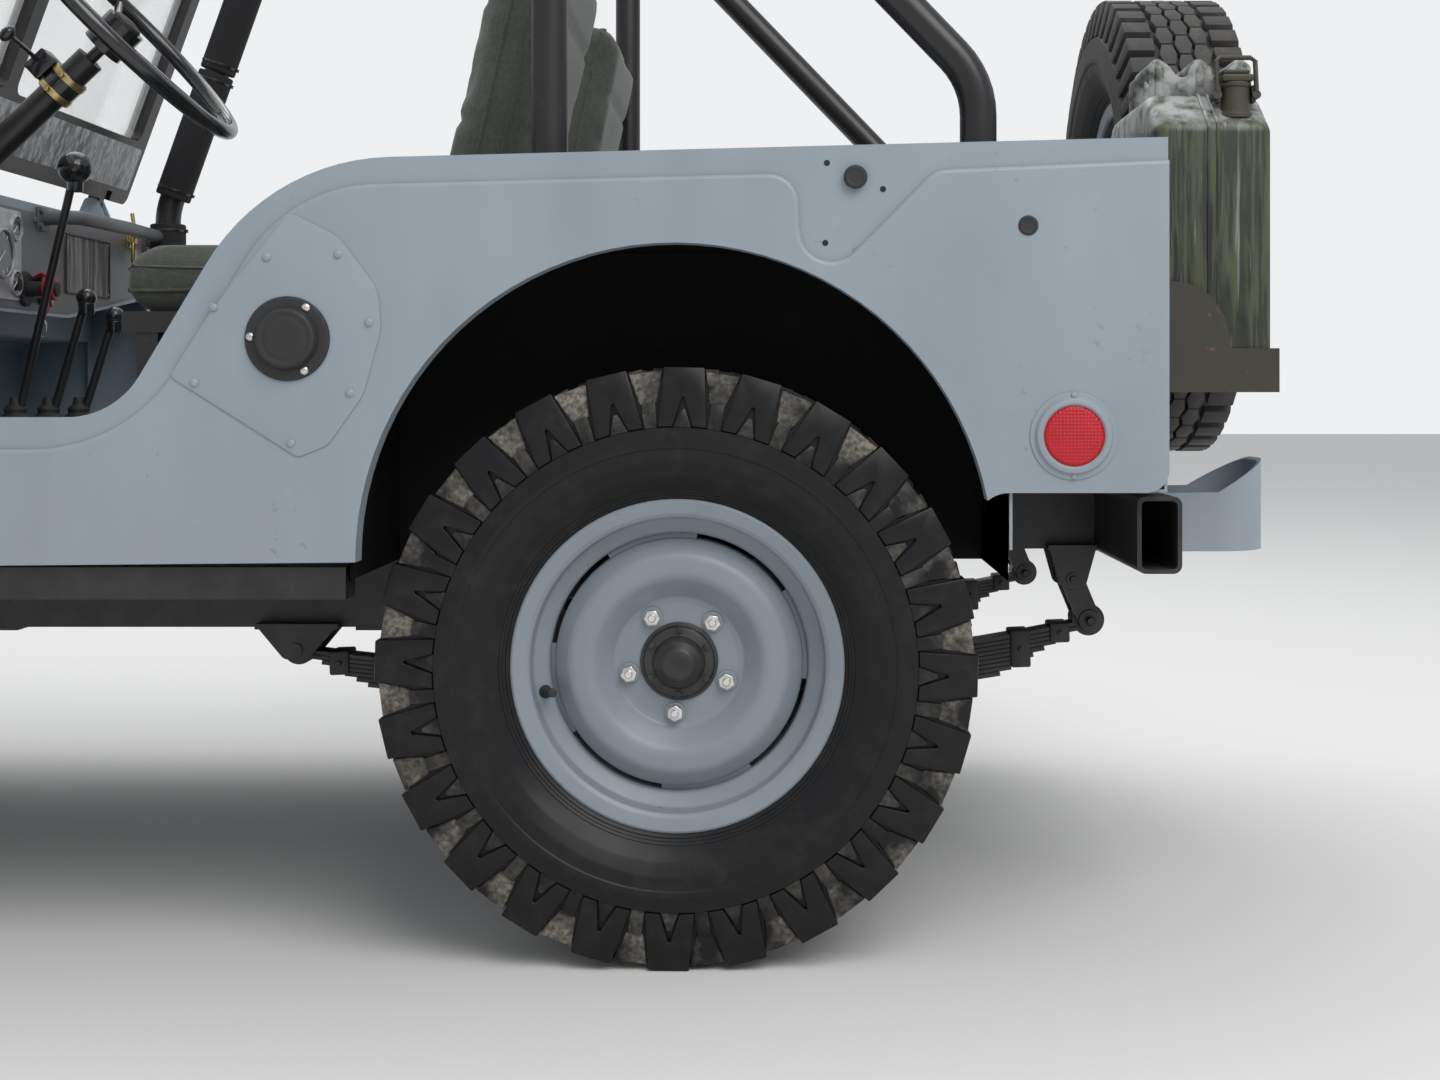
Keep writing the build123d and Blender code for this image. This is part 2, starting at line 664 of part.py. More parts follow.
# Rear crossbar: open tube, gusseted to the rails
def bar_section(inset, radius):
    return face_of([
        (BAR_X + inset, BAR_Z0 + inset, radius), (BAR_X + BAR_D - inset, BAR_Z0 + inset, radius),
        (BAR_X + BAR_D - inset, BAR_Z1 - inset, radius), (BAR_X + inset, BAR_Z1 - inset, radius),
    ])


PINTLE_SPACING = (85, 45)
PINTLE_HOLE_R = 6.5
crossbar = across(bar_section(0, 12), -BAR_HALF, BAR_HALF)
crossbar -= across(bar_section(BAR_WALL, 7), -BAR_HALF - 5, BAR_HALF + 5)
bar_mid_z = (BAR_Z0 + BAR_Z1) / 2
for along_y in SIDES:
    for along_z in SIDES:
        hole_y = along_y * PINTLE_SPACING[0] / 2
        hole_z = bar_mid_z + along_z * PINTLE_SPACING[1] / 2
        crossbar -= bar((BAR_X - 1, hole_y, hole_z), (BAR_X + BAR_WALL + 1, hole_y, hole_z), PINTLE_HOLE_R)
save("rear_crossbar", crossbar)

# Rear bumperettes: bent plates behind the crossbar
BUMPERETTE_T = 6
BUMPERETTE_REAR = BAR_X - 174
BUMPERETTE_OUT = 505
BUMPERETTE_IN = 300
BUMPERETTE_R = 78
bumperettes = []
for side in SIDES:
    low_y, high_y = sorted((side * BUMPERETTE_OUT, side * BUMPERETTE_IN))

    def u_plan(inset):
        return face_of([
            (BAR_X + (60 if inset else 0), low_y + inset, 0),
            (BUMPERETTE_REAR + inset, low_y + inset, BUMPERETTE_R - inset),
            (BUMPERETTE_REAR + inset, high_y - inset, BUMPERETTE_R - inset),
            (BAR_X + (60 if inset else 0), high_y - inset, 0),
        ])

    strip = upward(u_plan(0), 537, 672) - upward(u_plan(BUMPERETTE_T), 500, 700)
    slope = face_of([(BAR_X + 50, 620, 0), (BAR_X - 95, 622, 0), (BUMPERETTE_REAR - 5, 672, 0),
                     (BUMPERETTE_REAR - 5, 760, 0), (BAR_X + 50, 760, 0)])
    bumperettes.append(strip - across(slope, low_y - 20, high_y + 20))
save("rear_bumperettes", *bumperettes)

# Front bumper: channel with rounded ends
bumper_plan = face_of([
    (BUMPER_X - BUMPER_D, -BUMPER_HALF, 0), (BUMPER_X, -BUMPER_HALF, 30),
    (BUMPER_X, BUMPER_HALF, 30), (BUMPER_X - BUMPER_D, BUMPER_HALF, 0),
])
bumper = upward(bumper_plan, BUMPER_Z0, BUMPER_Z1)
bumper -= block(BUMPER_X - BUMPER_D - 1, BUMPER_X - RAIL_T, -BUMPER_HALF + 12, BUMPER_HALF - 12,
                BUMPER_Z0 + RAIL_T, BUMPER_Z1 - RAIL_T)
TOW_Y = 250
TOW_R = 15
for side in SIDES:
    ring = upward(face_of([
        (BUMPER_X - BUMPER_D, side * TOW_Y - 40, 0), (BUMPER_X, side * TOW_Y - 40, 0),
        (BUMPER_X, side * TOW_Y + 40, 0), (BUMPER_X - BUMPER_D, side * TOW_Y + 40, 0)]),
        BUMPER_Z1, BUMPER_Z1 + 12)
    bumper += ring
    bumper -= bar((BUMPER_X - 25, side * TOW_Y, BUMPER_Z0 - 1), (BUMPER_X - 25, side * TOW_Y, BUMPER_Z1 + 13), TOW_R)
for side in SIDES:
    pad = block(BUMPER_X - BUMPER_D, BUMPER_X - RAIL_T - 0.01, side * RAIL_FRONT_Y - 20, side * RAIL_FRONT_Y + 20,
                BUMPER_Z0 + 5, BUMPER_Z1 - 5)
    bumper += pad
save("front_bumper", bumper)


# Line of the steering column, from the wheel's middle forwards and down
COLUMN_BACK = (-cos(radians(COLUMN_RISE)), sin(radians(COLUMN_RISE)))


def on_column(distance):
    """A point on the column's line, measured down from the wheel's middle."""
    return (WHEEL_X - COLUMN_BACK[0] * distance, SEAT_Y, WHEEL_Z - COLUMN_BACK[1] * distance)


def column_z(x):
    return WHEEL_Z + (x - WHEEL_X) * COLUMN_BACK[1] / COLUMN_BACK[0]


# Body tub
def ahead(rows):
    """Rows whose first place is given ahead of the rear axle."""
    return [(REAR_AXLE_X + row[0], row[1], row[2]) for row in rows]


ARCH = Pos(REAR_AXLE_X, ARCH_Z) * Circle(ARCH_R)


def tub_side():
    shape = face_of(ahead([
        # ahead of the rear axle, height, corner radius
        (COWL_FRONT, TUB_BOTTOM, 0),
        (COWL_FRONT, COWL_EDGE_Z, 0),
        (DOOR_FRONT, COWL_EDGE_Z, 30),
        (DOOR_FRONT, 733, 110),
        (729, 733, 110),
        (529, 1068, 285),
        (TUB_REAR, 1098, 0),
        (TUB_REAR, TUB_REAR_Z, 30),
        (-397, TUB_REAR_Z, 45),
        (-380, 543, 0),
        (414, 545, 28),
    ]))
    return shape - ARCH - Pos(REAR_AXLE_X - 250, 560) * Rectangle(330, 130)


def bulge():
    """The part of the side that stands out below the pressed line."""
    return face_of(ahead([
        (1500, 692, 0),
        (714, 692, 220),
        (499, 1034, 200),
        (-160, 1051, 40),
        (-168, 883, 40),
        (-338, 1055, 40),
        (-660, 1069, 0),
        (-660, 400, 0),
        (1500, 400, 0),
    ]))


side_face = tub_side()
lip = side_face - offset(side_face, amount=-SHEET)
skin = across(side_face & bulge(), UPPER_HALF, BODY_HALF)
line = across(bulge(), UPPER_HALF, BODY_HALF)
rim = [edge for edge in line.edges() if abs(edge.center().Y - BODY_HALF) < 0.1 and edge.center().Z > 690
       and REAR_AXLE_X - 650 < edge.center().X < REAR_AXLE_X + 1400]
left = across(side_face, UPPER_HALF - SHEET, UPPER_HALF)
left += skin & fillet(rim, BULGE_ROUND)
left += across(lip, UPPER_HALF - FLANGE, UPPER_HALF - SHEET)
tub = left + mirrored(left)
tub += block(REAR_PANEL_X, REAR_PANEL_X + SHEET, -UPPER_HALF + SHEET, UPPER_HALF - SHEET, TUB_REAR_Z, 1098)
tub += block(REAR_PANEL_X, REAR_PANEL_X + FLANGE, -UPPER_HALF + SHEET, UPPER_HALF - SHEET, 1094, 1098)
tub += block(REAR_PANEL_X, REAR_PANEL_X + FLANGE, -UPPER_HALF + SHEET, UPPER_HALF - SHEET, TUB_REAR_Z, TUB_REAR_Z + SHEET)
save("body_tub", tub)


# Cowl section, shared by the cowl and the firewall's top
def cowl_section(inset):
    half = UPPER_HALF - inset
    return face_of([
        (-half, COWL_EDGE_Z, 0), (half, COWL_EDGE_Z, 0),
        (half, COWL_Z - inset, 60 - inset), (-half, COWL_Z - inset, 60 - inset),
    ])


# Floor, toe board, tunnel, load floor and wheel boxes
TOE_FOOT = TOE_X - 140
TOE_BEND_Z = FLOOR_Z + 150
FOOTWELL_TOP = FLOOR_Z + 320
INNER = UPPER_HALF - SHEET
rear_in = REAR_PANEL_X + SHEET
bed_x = REAR_AXLE_X + BED_FRONT
footwell = [
    (TOE_FOOT, FLOOR_Z, 30),
    (TOE_X, TOE_BEND_Z, 30),
    (TOE_X, FOOTWELL_TOP, 20),
]
floor_side = face_of([
    (bed_x + SEAT_GAP, FLOOR_Z, 0),
    *footwell,
    (COWL_X - SHEET, FOOTWELL_TOP, 8),
    (COWL_X - SHEET, COWL_EDGE_Z, 0),
    (COWL_X, COWL_EDGE_Z, 0),
    (COWL_X, FOOTWELL_TOP + SHEET, 12),
    (TOE_X + SHEET, FOOTWELL_TOP + SHEET, 24),
    (TOE_X + SHEET, TOE_BEND_Z - 2, 34),
    (TOE_FOOT + 2, FLOOR_Z - SHEET, 34),
    (bed_x + SEAT_GAP, FLOOR_Z - SHEET, 0),
])
bed_side = face_of([
    (rear_in, BED_Z, 0),
    (bed_x, BED_Z, 8),
    (bed_x, FLOOR_Z - SHEET, 0),
    (bed_x - SHEET, FLOOR_Z - SHEET, 0),
    (bed_x - SHEET, BED_Z - SHEET, 4),
    (rear_in, BED_Z - SHEET, 0),
])
floor = across(floor_side, -INNER, INNER)
floor += along(cowl_section(SHEET), COWL_X - SHEET, COWL_X)
footwell_end = face_of([(COWL_X, FLOOR_Z - SHEET, 0)] + footwell + [(COWL_X, FOOTWELL_TOP, 0)])
for side in SIDES:
    edges = (side * (INNER - SHEET), side * INNER)
    floor += across(footwell_end, min(edges), max(edges))
TUNNEL_HALF = 140
TUNNEL_Z = 705
TUNNEL_REAR = -220


def tunnel(inset, low, rear, front):
    section = face_of([
        (-TUNNEL_HALF + inset, low, 0), (TUNNEL_HALF - inset, low, 0),
        (TUNNEL_HALF - 35 - inset, TUNNEL_Z - inset, 30), (-TUNNEL_HALF + 35 + inset, TUNNEL_Z - inset, 30),
    ])
    return along(section, rear, front)


floor += tunnel(0, FLOOR_Z - SHEET, TUNNEL_REAR, TOE_X + SHEET)
floor -= tunnel(SHEET, FLOOR_Z - SHEET - 1, TUNNEL_REAR + SHEET, TOE_X + SHEET + 1)


def wheel_box():
    """Left wheel box: flat top, round front, open towards the wheel."""
    outline = face_of(ahead([
        (BOX_FRONT, ARCH_Z + 14, 0),
        (BOX_FRONT, BOX_TOP, BOX_CURVE),
        (BOX_REAR, BOX_TOP, 10),
        (BOX_REAR, ARCH_Z + 14, 0),
    ]))
    inner = face_of(ahead([
        (BOX_FRONT - SHEET, ARCH_Z - 40, 0),
        (BOX_FRONT - SHEET, BOX_TOP - SHEET, BOX_CURVE - SHEET),
        (BOX_REAR + SHEET, BOX_TOP - SHEET, 6),
        (BOX_REAR + SHEET, ARCH_Z - 40, 0),
    ]))
    return across(outline, BOX_IN, INNER), across(inner, BOX_IN + SHEET, INNER + 20)


BOX, BOX_VOID = wheel_box()
bed = across(bed_side, -INNER, INNER) + BOX + mirrored(BOX) - BOX_VOID - mirrored(BOX_VOID) - tub
save("load_bed", bed)
COLUMN_HOLE_R = COLUMN_R + 8
floor -= bar(on_column(500), on_column(900), COLUMN_HOLE_R)
save("floor_pan", floor - tub - bed - BOX_VOID - mirrored(BOX_VOID))


# Cowl between the dash and the bonnet, with the hinges of the windscreen and the bonnet
BONNET_X = COWL_X + RUN_GAP
BONNET_EYE_X = COWL_X + 3
BONNET_EYE_Y = 200
BONNET_EYE_HALF = 30
SCREEN_LUG_Y = 560
SCREEN_EAR = 16
cowl = along(cowl_section(0), DASH_X, COWL_X) - along(cowl_section(SHEET), DASH_X - 1, COWL_X + 1)
for side in SIDES:
    for edge in SIDES:
        ear_y = side * SCREEN_LUG_Y + edge * SCREEN_EAR
        ear = face_of([(SCREEN_X - 34, COWL_Z - 1, 0), (SCREEN_X - 11, SCREEN_Z + 11, 10),
                       (SCREEN_X + 11, SCREEN_Z + 11, 10), (SCREEN_X + 34, COWL_Z - 1, 0)])
        cowl += across(ear, ear_y - 4, ear_y + 4)
        end_y = side * BONNET_EYE_Y + edge * (BONNET_EYE_HALF + 8)
        cowl += block(COWL_X - 30, BONNET_EYE_X + 6, end_y - 5, end_y + 5, COWL_Z + 3, BONNET_HINGE_Z + 6)
        cowl += block(COWL_X - 30, COWL_X, end_y - 5, end_y + 5, COWL_Z - 1, COWL_Z + 4)
    lug_y = side * SCREEN_LUG_Y
    cowl += bar((SCREEN_X, lug_y - SCREEN_EAR - 4, SCREEN_Z), (SCREEN_X, lug_y + SCREEN_EAR + 4, SCREEN_Z), 6)
    eye_y = side * BONNET_EYE_Y
    reach = BONNET_EYE_HALF + 12
    cowl += bar((BONNET_EYE_X, eye_y - reach, BONNET_HINGE_Z), (BONNET_EYE_X, eye_y + reach, BONNET_HINGE_Z), 4)

# Dash plate with an opening for the steering column
DASH_LOW = 905
dash = along(face_of([
    (-INNER, DASH_LOW + 60, 30), (-300, DASH_LOW, 60), (300, DASH_LOW, 60), (INNER, DASH_LOW + 60, 30),
    (INNER, COWL_EDGE_Z, 0), (-INNER, COWL_EDGE_Z, 0),
]), DASH_X, DASH_X + SHEET)
dash += along(cowl_section(0), DASH_X, DASH_X + SHEET)
dash -= block(DASH_X - 5, DASH_X + 10, SEAT_Y - 34, SEAT_Y + 34, column_z(DASH_X) - 52, column_z(DASH_X) + 44)
save("cowl_panel", cowl + dash - tub)


# Windscreen, drawn upright and leaned back
def leaned(piece):
    return Pos(SCREEN_X, 0, SCREEN_Z) * Rot(0, -SCREEN_RAKE, 0) * piece


SCREEN_FOOT = 16
panes = []
for side in SIDES:
    inner_y, outer_y = side * SCREEN_BAR / 2, side * (SCREEN_HALF - SCREEN_BAR)
    panes.append((min(inner_y, outer_y), max(inner_y, outer_y)))
screen = along(face_of([
    (-SCREEN_HALF, SCREEN_FOOT, 20), (SCREEN_HALF, SCREEN_FOOT, 20),
    (SCREEN_HALF, SCREEN_H, 60), (-SCREEN_HALF, SCREEN_H, 60),
]), -SCREEN_D / 2, SCREEN_D / 2)
glass = []
for y0, y1 in panes:
    opening = face_of([(y0, VENT_H, 20), (y1, VENT_H, 20), (y1, SCREEN_H - SCREEN_BAR, 20), (y0, SCREEN_H - SCREEN_BAR, 20)])
    screen -= along(opening, -SCREEN_D, SCREEN_D)
    glass.append(leaned(along(opening, -3, 3)))
screen -= block(-SCREEN_D, SCREEN_D, -420, 420, 52, VENT_H - 38)
screen += block(-4, 4, -420, 420, 51, VENT_H - 37)
for side in SIDES:
    lug_y = side * SCREEN_LUG_Y
    notch = SCREEN_EAR + 9
    screen -= block(-SCREEN_D, SCREEN_D, lug_y - notch, lug_y + notch, 0, 36)
    lug = across(face_of([(-12, -12, 11), (12, -12, 11), (12, 38, 0), (-12, 38, 0)]), lug_y - 11.5, lug_y + 11.5)
    screen += lug
    screen -= bar((0, lug_y - 20, 0), (0, lug_y + 20, 0), 6 + SEAT_GAP)
save("windscreen_frame", leaned(screen))
save("windscreen_glass", *glass)


# Bonnet: a crowned pressing that narrows and falls towards the grille
BONNET_FOOT = WING_TOP + WING_RISE + RUN_GAP + 1


def bonnet_form(inset):
    foot_z = BONNET_FOOT - (30 if inset else 0)
    top = face_of([
        (BONNET_X - (20 if inset else 0), foot_z, 0),
        (BONNET_X - (20 if inset else 0), COWL_Z - inset, 0),
        (GRILLE_X - 140, 1042 - inset, 300),
        (GRILLE_X + 28 - inset, 1012 - inset, 34),
        (GRILLE_X + 28 - inset, foot_z, 0),
    ])
    plan = face_of([
        (BONNET_X - 30, -BONNET_REAR_HALF + inset, 0), (GRILLE_X + 60, -BONNET_FRONT_HALF + inset, 0),
        (GRILLE_X + 60, BONNET_FRONT_HALF - inset, 0), (BONNET_X - 30, BONNET_REAR_HALF - inset, 0),
    ])
    form = across(top, -700, 700) & upward(plan, 800, 1200)
    shoulder = [edge for edge in form.edges()
                if edge.center().Z > 990 and abs(edge.center().Y) > 430 and edge.length > 60]
    return fillet(shoulder, BONNET_ROUND - inset)


bonnet = bonnet_form(0) - bonnet_form(SHEET)
bonnet -= block(GRILLE_X - 60, GRILLE_X + 60, -600, 600, 800, GRILLE_TOP - 34)
for side in SIDES:
    eye_y = side * BONNET_EYE_Y
    y0, y1 = eye_y - BONNET_EYE_HALF, eye_y + BONNET_EYE_HALF
    eye = bar((BONNET_EYE_X, y0, BONNET_HINGE_Z), (BONNET_EYE_X, y1, BONNET_HINGE_Z), BONNET_EYE_R)
    tongue = face_of([(BONNET_EYE_X, BONNET_HINGE_Z + 4, 0), (BONNET_EYE_X + 6, BONNET_HINGE_Z - 6, 0),
                      (BONNET_X + 20, COWL_Z - 6, 0), (BONNET_X + 60, COWL_Z - 8, 0),
                      (BONNET_X + 60, COWL_Z + 0.5, 0), (BONNET_X + 20, COWL_Z + 4, 0)])
    bonnet += eye + across(tongue, y0, y1)
    bonnet -= bar((BONNET_EYE_X, y0 - 5, BONNET_HINGE_Z), (BONNET_EYE_X, y1 + 5, BONNET_HINGE_Z), 4 + SEAT_GAP)
    for end_y in (y0 - 8, y1 + 8):
        bonnet -= block(BONNET_X - 1, BONNET_X + 14, end_y - 9, end_y + 9, COWL_Z - 30, COWL_Z + 30)
save("bonnet", bonnet)


# Grille with slots and lamp openings
GRILLE_FOOT_HALF = 430


def grille_form(inset):
    return face_of([
        (-GRILLE_FOOT_HALF + inset, GRILLE_BOTTOM + inset, 20),
        (GRILLE_FOOT_HALF - inset, GRILLE_BOTTOM + inset, 20),
        (BONNET_FRONT_HALF - 6 - inset, GRILLE_TOP - inset, 90),
        (-BONNET_FRONT_HALF + 6 + inset, GRILLE_TOP - inset, 90),
    ])


grille = along(grille_form(0), GRILLE_X - GRILLE_D, GRILLE_X)
grille -= along(grille_form(SHEET), GRILLE_X - GRILLE_D - 1, GRILLE_X - SHEET)
for index in range(SLOTS):
    slot_y = (index - (SLOTS - 1) / 2) * 52
    grille -= along(Pos(slot_y, 800) * SlotOverall(270, 26, rotation=90), GRILLE_X - 10, GRILLE_X + 10)
for side in SIDES:
    grille -= bar((GRILLE_X - 10, side * LAMP_Y, LAMP_Z), (GRILLE_X + 10, side * LAMP_Y, LAMP_Z), LAMP_R)
    grille -= bar((GRILLE_X - 10, side * LAMP_Y, PARK_Z), (GRILLE_X + 10, side * LAMP_Y, PARK_Z), 32)
save("grille_panel", grille)

lamps = []
for side in SIDES:
    bowl = Plane(origin=(GRILLE_X, side * LAMP_Y, LAMP_Z), z_dir=(1, 0, 0)) * revolve(
        Plane.XZ * Polygon((0, -70), (55, -60), (LAMP_R - 1, -6), (LAMP_R - 1, SEAT_GAP), (LAMP_R + 8, SEAT_GAP), (LAMP_R + 8, 10),
                           (LAMP_R - 8, 16), (LAMP_R - 14, 12), (45, 20), (0, 24), align=None), Axis.Z)
    lamps.append(bowl)
    lamps.append(bar((GRILLE_X - 30, side * LAMP_Y, PARK_Z), (GRILLE_X + 14, side * LAMP_Y, PARK_Z), 31.7))


# Front wings
def wing(side):
    inner_rear, inner_front = BONNET_REAR_HALF - WING_UNDER, BONNET_FRONT_HALF - WING_UNDER

    def form(inset):
        low = 500 if inset else TUB_BOTTOM
        profile = face_of([
            (COWL_X + 0.5 - (20 if inset else 0), low, 0),
            (COWL_X + 0.5 - (20 if inset else 0), WING_TOP + WING_RISE - inset, 0),
            (WING_NOSE_X - 300, WING_TOP - inset, 400),
            (WING_NOSE_X - 30 - inset, WING_TOP - 40 - inset, 150),
            (WING_NOSE_X - inset, low, 0),
        ])
        plan = face_of([
            (COWL_X - 60, inner_rear + (inset and -20), 0), (GRILLE_X + 4, inner_front + (inset and -20), 0),
            (WING_NOSE_X + 40, inner_front + 22 + (inset and -20), 0), (WING_NOSE_X + 40, BODY_HALF - inset, 0),
            (COWL_X - 60, BODY_HALF - inset, 0),
        ])
        solid = across(profile, 300, 900) & upward(plan, 400, 1000)
        outer_edges = [edge for edge in solid.edges()
                       if abs(edge.center().Y - (BODY_HALF - inset)) < 1 and edge.center().Z > 650
                       and not (abs(edge.center().X - COWL_X) < 40 and edge.length > 250)
                       and edge.geom_type in (GeomType.LINE, GeomType.CIRCLE)]
        top_edges = [edge for edge in outer_edges if edge.center().Z > GRILLE_BOTTOM + 60]
        return fillet(top_edges, 55 - inset)

    shell = form(0) - form(SHEET)
    opening = Pos(FRONT_AXLE_X, WING_ARCH_Z) * Circle(WING_ARCH_R)
    shell -= across(opening, 700, 800)
    shell -= block(FRONT_AXLE_X, WING_NOSE_X + 50, 300, 900, 400, WING_NOSE_LOW)
    shell -= block(FRONT_AXLE_X - 380, WING_NOSE_X + 50, BODY_HALF - 80, BODY_HALF + 60, 400, TUB_BOTTOM + 10)
    return shell if side > 0 else mirrored(shell)


save("front_wings", wing(1), wing(-1))


# Roll cage
cage = tube_path(
    [(HOOP_X, -CAGE_Y, BOX_TOP), (HOOP_X, -CAGE_Y, CAGE_TOP), (HOOP_X, CAGE_Y, CAGE_TOP), (HOOP_X, CAGE_Y, BOX_TOP)],
    HOOP_BEND, TUBE_R)
top_x = POST_X - tan(radians(POST_LEAN)) * (CAGE_TOP - POST_BEND_Z)
cage += bar((top_x, -CAGE_Y, CAGE_TOP), (top_x, CAGE_Y, CAGE_TOP), TUBE_R)
for side in SIDES:
    y = side * CAGE_Y
    cage += tube_path([(LEG_X, y, BOX_TOP), (LEG_X, y, LEG_BEND_Z), (HOOP_X, y, CAGE_TOP - 5)], 120, TUBE_R)
    cage += tube_path(
        [(POST_X, y, FLOOR_Z), (POST_X, y, POST_BEND_Z), (top_x, y, CAGE_TOP), (HOOP_X, y, CAGE_TOP)],
        [160, 90], TUBE_R)
    cage += bar((POST_X, y, FLOOR_Z + 120), (POST_X, y, POST_BEND_Z - 30), PAD_R)
    for foot_x, foot_z in ((HOOP_X, BOX_TOP), (LEG_X, BOX_TOP), (POST_X, FLOOR_Z)):
        cage += block(foot_x - 55, foot_x + 55, y - 55, y + 55, foot_z, foot_z + 6)
save("roll_cage", cage)


# Seats
REAR_LEG_X = REAR_AXLE_X + BOX_FRONT + 40


def back_point(x, z):
    """Where a point of a seat back, drawn upright at the origin, goes."""
    lean = radians(BACK_LEAN)
    return (CUSHION_REAR + x * cos(lean) - z * sin(lean), CUSHION_Z + 32 + x * sin(lean) + z * cos(lean))


cushions, backs, frames = [], [], []
for side in SIDES:
    y = side * SEAT_Y
    cushion = across(face_of([
        (CUSHION_REAR + 20, CUSHION_Z - CUSHION_T, 20), (CUSHION_FRONT, CUSHION_Z - CUSHION_T, 25),
        (CUSHION_FRONT, CUSHION_Z, 38), (CUSHION_REAR + 20, CUSHION_Z - 18, 15)]), y - SEAT_HALF, y + SEAT_HALF)
    cushions.append(cushion)
    back = Pos(CUSHION_REAR, y, CUSHION_Z + 32) * Rot(0, -BACK_LEAN, 0) * across(face_of([
        (-BACK_T, 0, 20), (0, 0, 20), (0, BACK_H, 45), (-BACK_T, BACK_H, 45)]), -SEAT_HALF, SEAT_HALF)
    backs.append(back)
    frame_y = SEAT_HALF - 30
    loop = None
    for edge in SIDES:
        rail_y = y + edge * frame_y
        runner = block(CUSHION_REAR + 45, CUSHION_FRONT - 25, rail_y - 16, rail_y + 16, 850, CUSHION_Z - CUSHION_T - SEAT_GAP)
        legs = block(CUSHION_FRONT - 75, CUSHION_FRONT - 45, rail_y - 12, rail_y + 12, FLOOR_Z, 851)
        legs += block(REAR_LEG_X - 15, REAR_LEG_X + 15, rail_y - 12, rail_y + 12, FLOOR_Z, 851)
        loop = runner + legs if loop is None else loop + runner + legs
    loop += block(CUSHION_FRONT - 60, CUSHION_FRONT - 30, y - frame_y, y + frame_y, 856, 874)
    loop += block(REAR_LEG_X - 15, REAR_LEG_X + 15, y - frame_y, y + frame_y, 856, 874)
    for post_y in (side * (SEAT_Y - 150), side * (BOX_IN - 25)):
        head, foot = back_point(-BACK_T / 2, -SEAT_GAP), back_point(-BACK_T / 2, -133)
        loop += bar((foot[0], post_y, foot[1]), (head[0], post_y, head[1]), 10)
        loop += block(foot[0] - 9, REAR_LEG_X, post_y - 9, post_y + 9, 857, 877)
    frames.append(loop)
# Rear bench between the wheel boxes
BENCH_FRONT = REAR_AXLE_X + 130
BENCH_REAR = REAR_AXLE_X - 230
BENCH_Z = 925
bench = across(face_of([
    (BENCH_REAR, BENCH_Z, 22), (BENCH_FRONT, BENCH_Z, 22),
    (BENCH_FRONT, BENCH_Z + 72, 30), (BENCH_REAR, BENCH_Z + 72, 22)]), -395, 395)
cushions.append(bench)
for side in SIDES:
    y = side * 370
    loop = tube_path([(BENCH_FRONT - 40, y, BED_Z), (BENCH_FRONT - 40, y, BENCH_Z - 12 - SEAT_GAP),
                      (BENCH_REAR + 60, y, BENCH_Z - 12 - SEAT_GAP), (BENCH_REAR + 60, y, BED_Z)], 40, 12)
    frames.append(loop)
save("seat_cushions", *cushions)
save("seat_backs", *backs)
save("seat_frames", *frames)


# Steering column and wheel
COLUMN_END = 880
column = bar(on_column(70), on_column(COLUMN_END), COLUMN_R)
column += bar(on_column(-12), on_column(75), 9)
column += block(DASH_X - 6, DASH_X - SEAT_GAP, SEAT_Y - 50, SEAT_Y + 50, column_z(DASH_X) - 66, column_z(DASH_X) + 58)
save("steering_column", column)

wheel_plane = Plane(origin=(WHEEL_X, SEAT_Y, WHEEL_Z), x_dir=(0, 1, 0), z_dir=(COLUMN_BACK[0], 0, COLUMN_BACK[1]))
steer = wheel_plane * Torus(WHEEL_RIM_R, 12)
SPOKES = 3
for index in range(SPOKES):
    turn = radians(90 + 360 * index / SPOKES)
    tip = wheel_plane.from_local_coords((WHEEL_RIM_R * cos(turn), WHEEL_RIM_R * sin(turn), 0))
    root = wheel_plane.from_local_coords((24 * cos(turn), 24 * sin(turn), -18))
    steer += bar((root.X, root.Y, root.Z), (tip.X, tip.Y, tip.Z), 7)
boss_top = wheel_plane.from_local_coords((0, 0, 6))
boss_low = wheel_plane.from_local_coords((0, 0, -46))
steer += bar(tuple(boss_low), tuple(boss_top), 32)
steer -= bar(on_column(-60), on_column(80), 9 + SEAT_GAP)
save("steering_wheel", steer)


# Running gear blocks
engine = block(650, 1150, -190, 190, 545, 930)
engine = fillet(engine.edges().filter_by(Axis.X), 40)
gearbox = bar((100, 0, 590), (651, 0, 590), 95) + block(60, 260, -230, 80, GEARBOX_LOW, 540)
ENGINE = engine + gearbox
save("engine", ENGINE)
radiator = block(GRILLE_X - 100, GRILLE_X - 45, -260, 260, 590, 950)
for side in SIDES:
    foot_z = GRILLE_BOTTOM + SHEET + SEAT_GAP
    radiator += block(GRILLE_X - 46, GRILLE_X - 15, side * 220 - 15, side * 220 + 15, foot_z, foot_z + 6)
save("radiator", radiator)

SHAFT_R = 26
shafts = bar((70, DIFF_Y, 485), (REAR_AXLE_X + 200, DIFF_Y, TYRE_R + 18), SHAFT_R)
front_shaft = bar((250, DIFF_Y, 485), (FRONT_AXLE_X - 200, DIFF_Y, TYRE_R + 18), SHAFT_R)
save("propshafts", shafts - ENGINE - rear_axle, front_shaft - ENGINE - front_axle)

PIPE_Z = 376
pipe = tube_path([(690, -225, 560), (600, -250, PIPE_Z), (400, -445, PIPE_Z), (-300, -445, PIPE_Z)], [60, 60], 20)
silencer = bar((-200, -445, PIPE_Z), (180, -445, PIPE_Z), 52)
pipe += block(672, 708, -242, -190 - SEAT_GAP, 545, 588)
hanger_y = -RAIL_Y - RAIL_W / 2 - SEAT_GAP
for x in (-150, 130):
    pipe += block(x - 12, x + 12, -449, -441, PIPE_Z + 40, 462)
    pipe += block(x - 12, x + 12, -449, hanger_y, 454, 462)
save("exhaust", pipe + silencer)

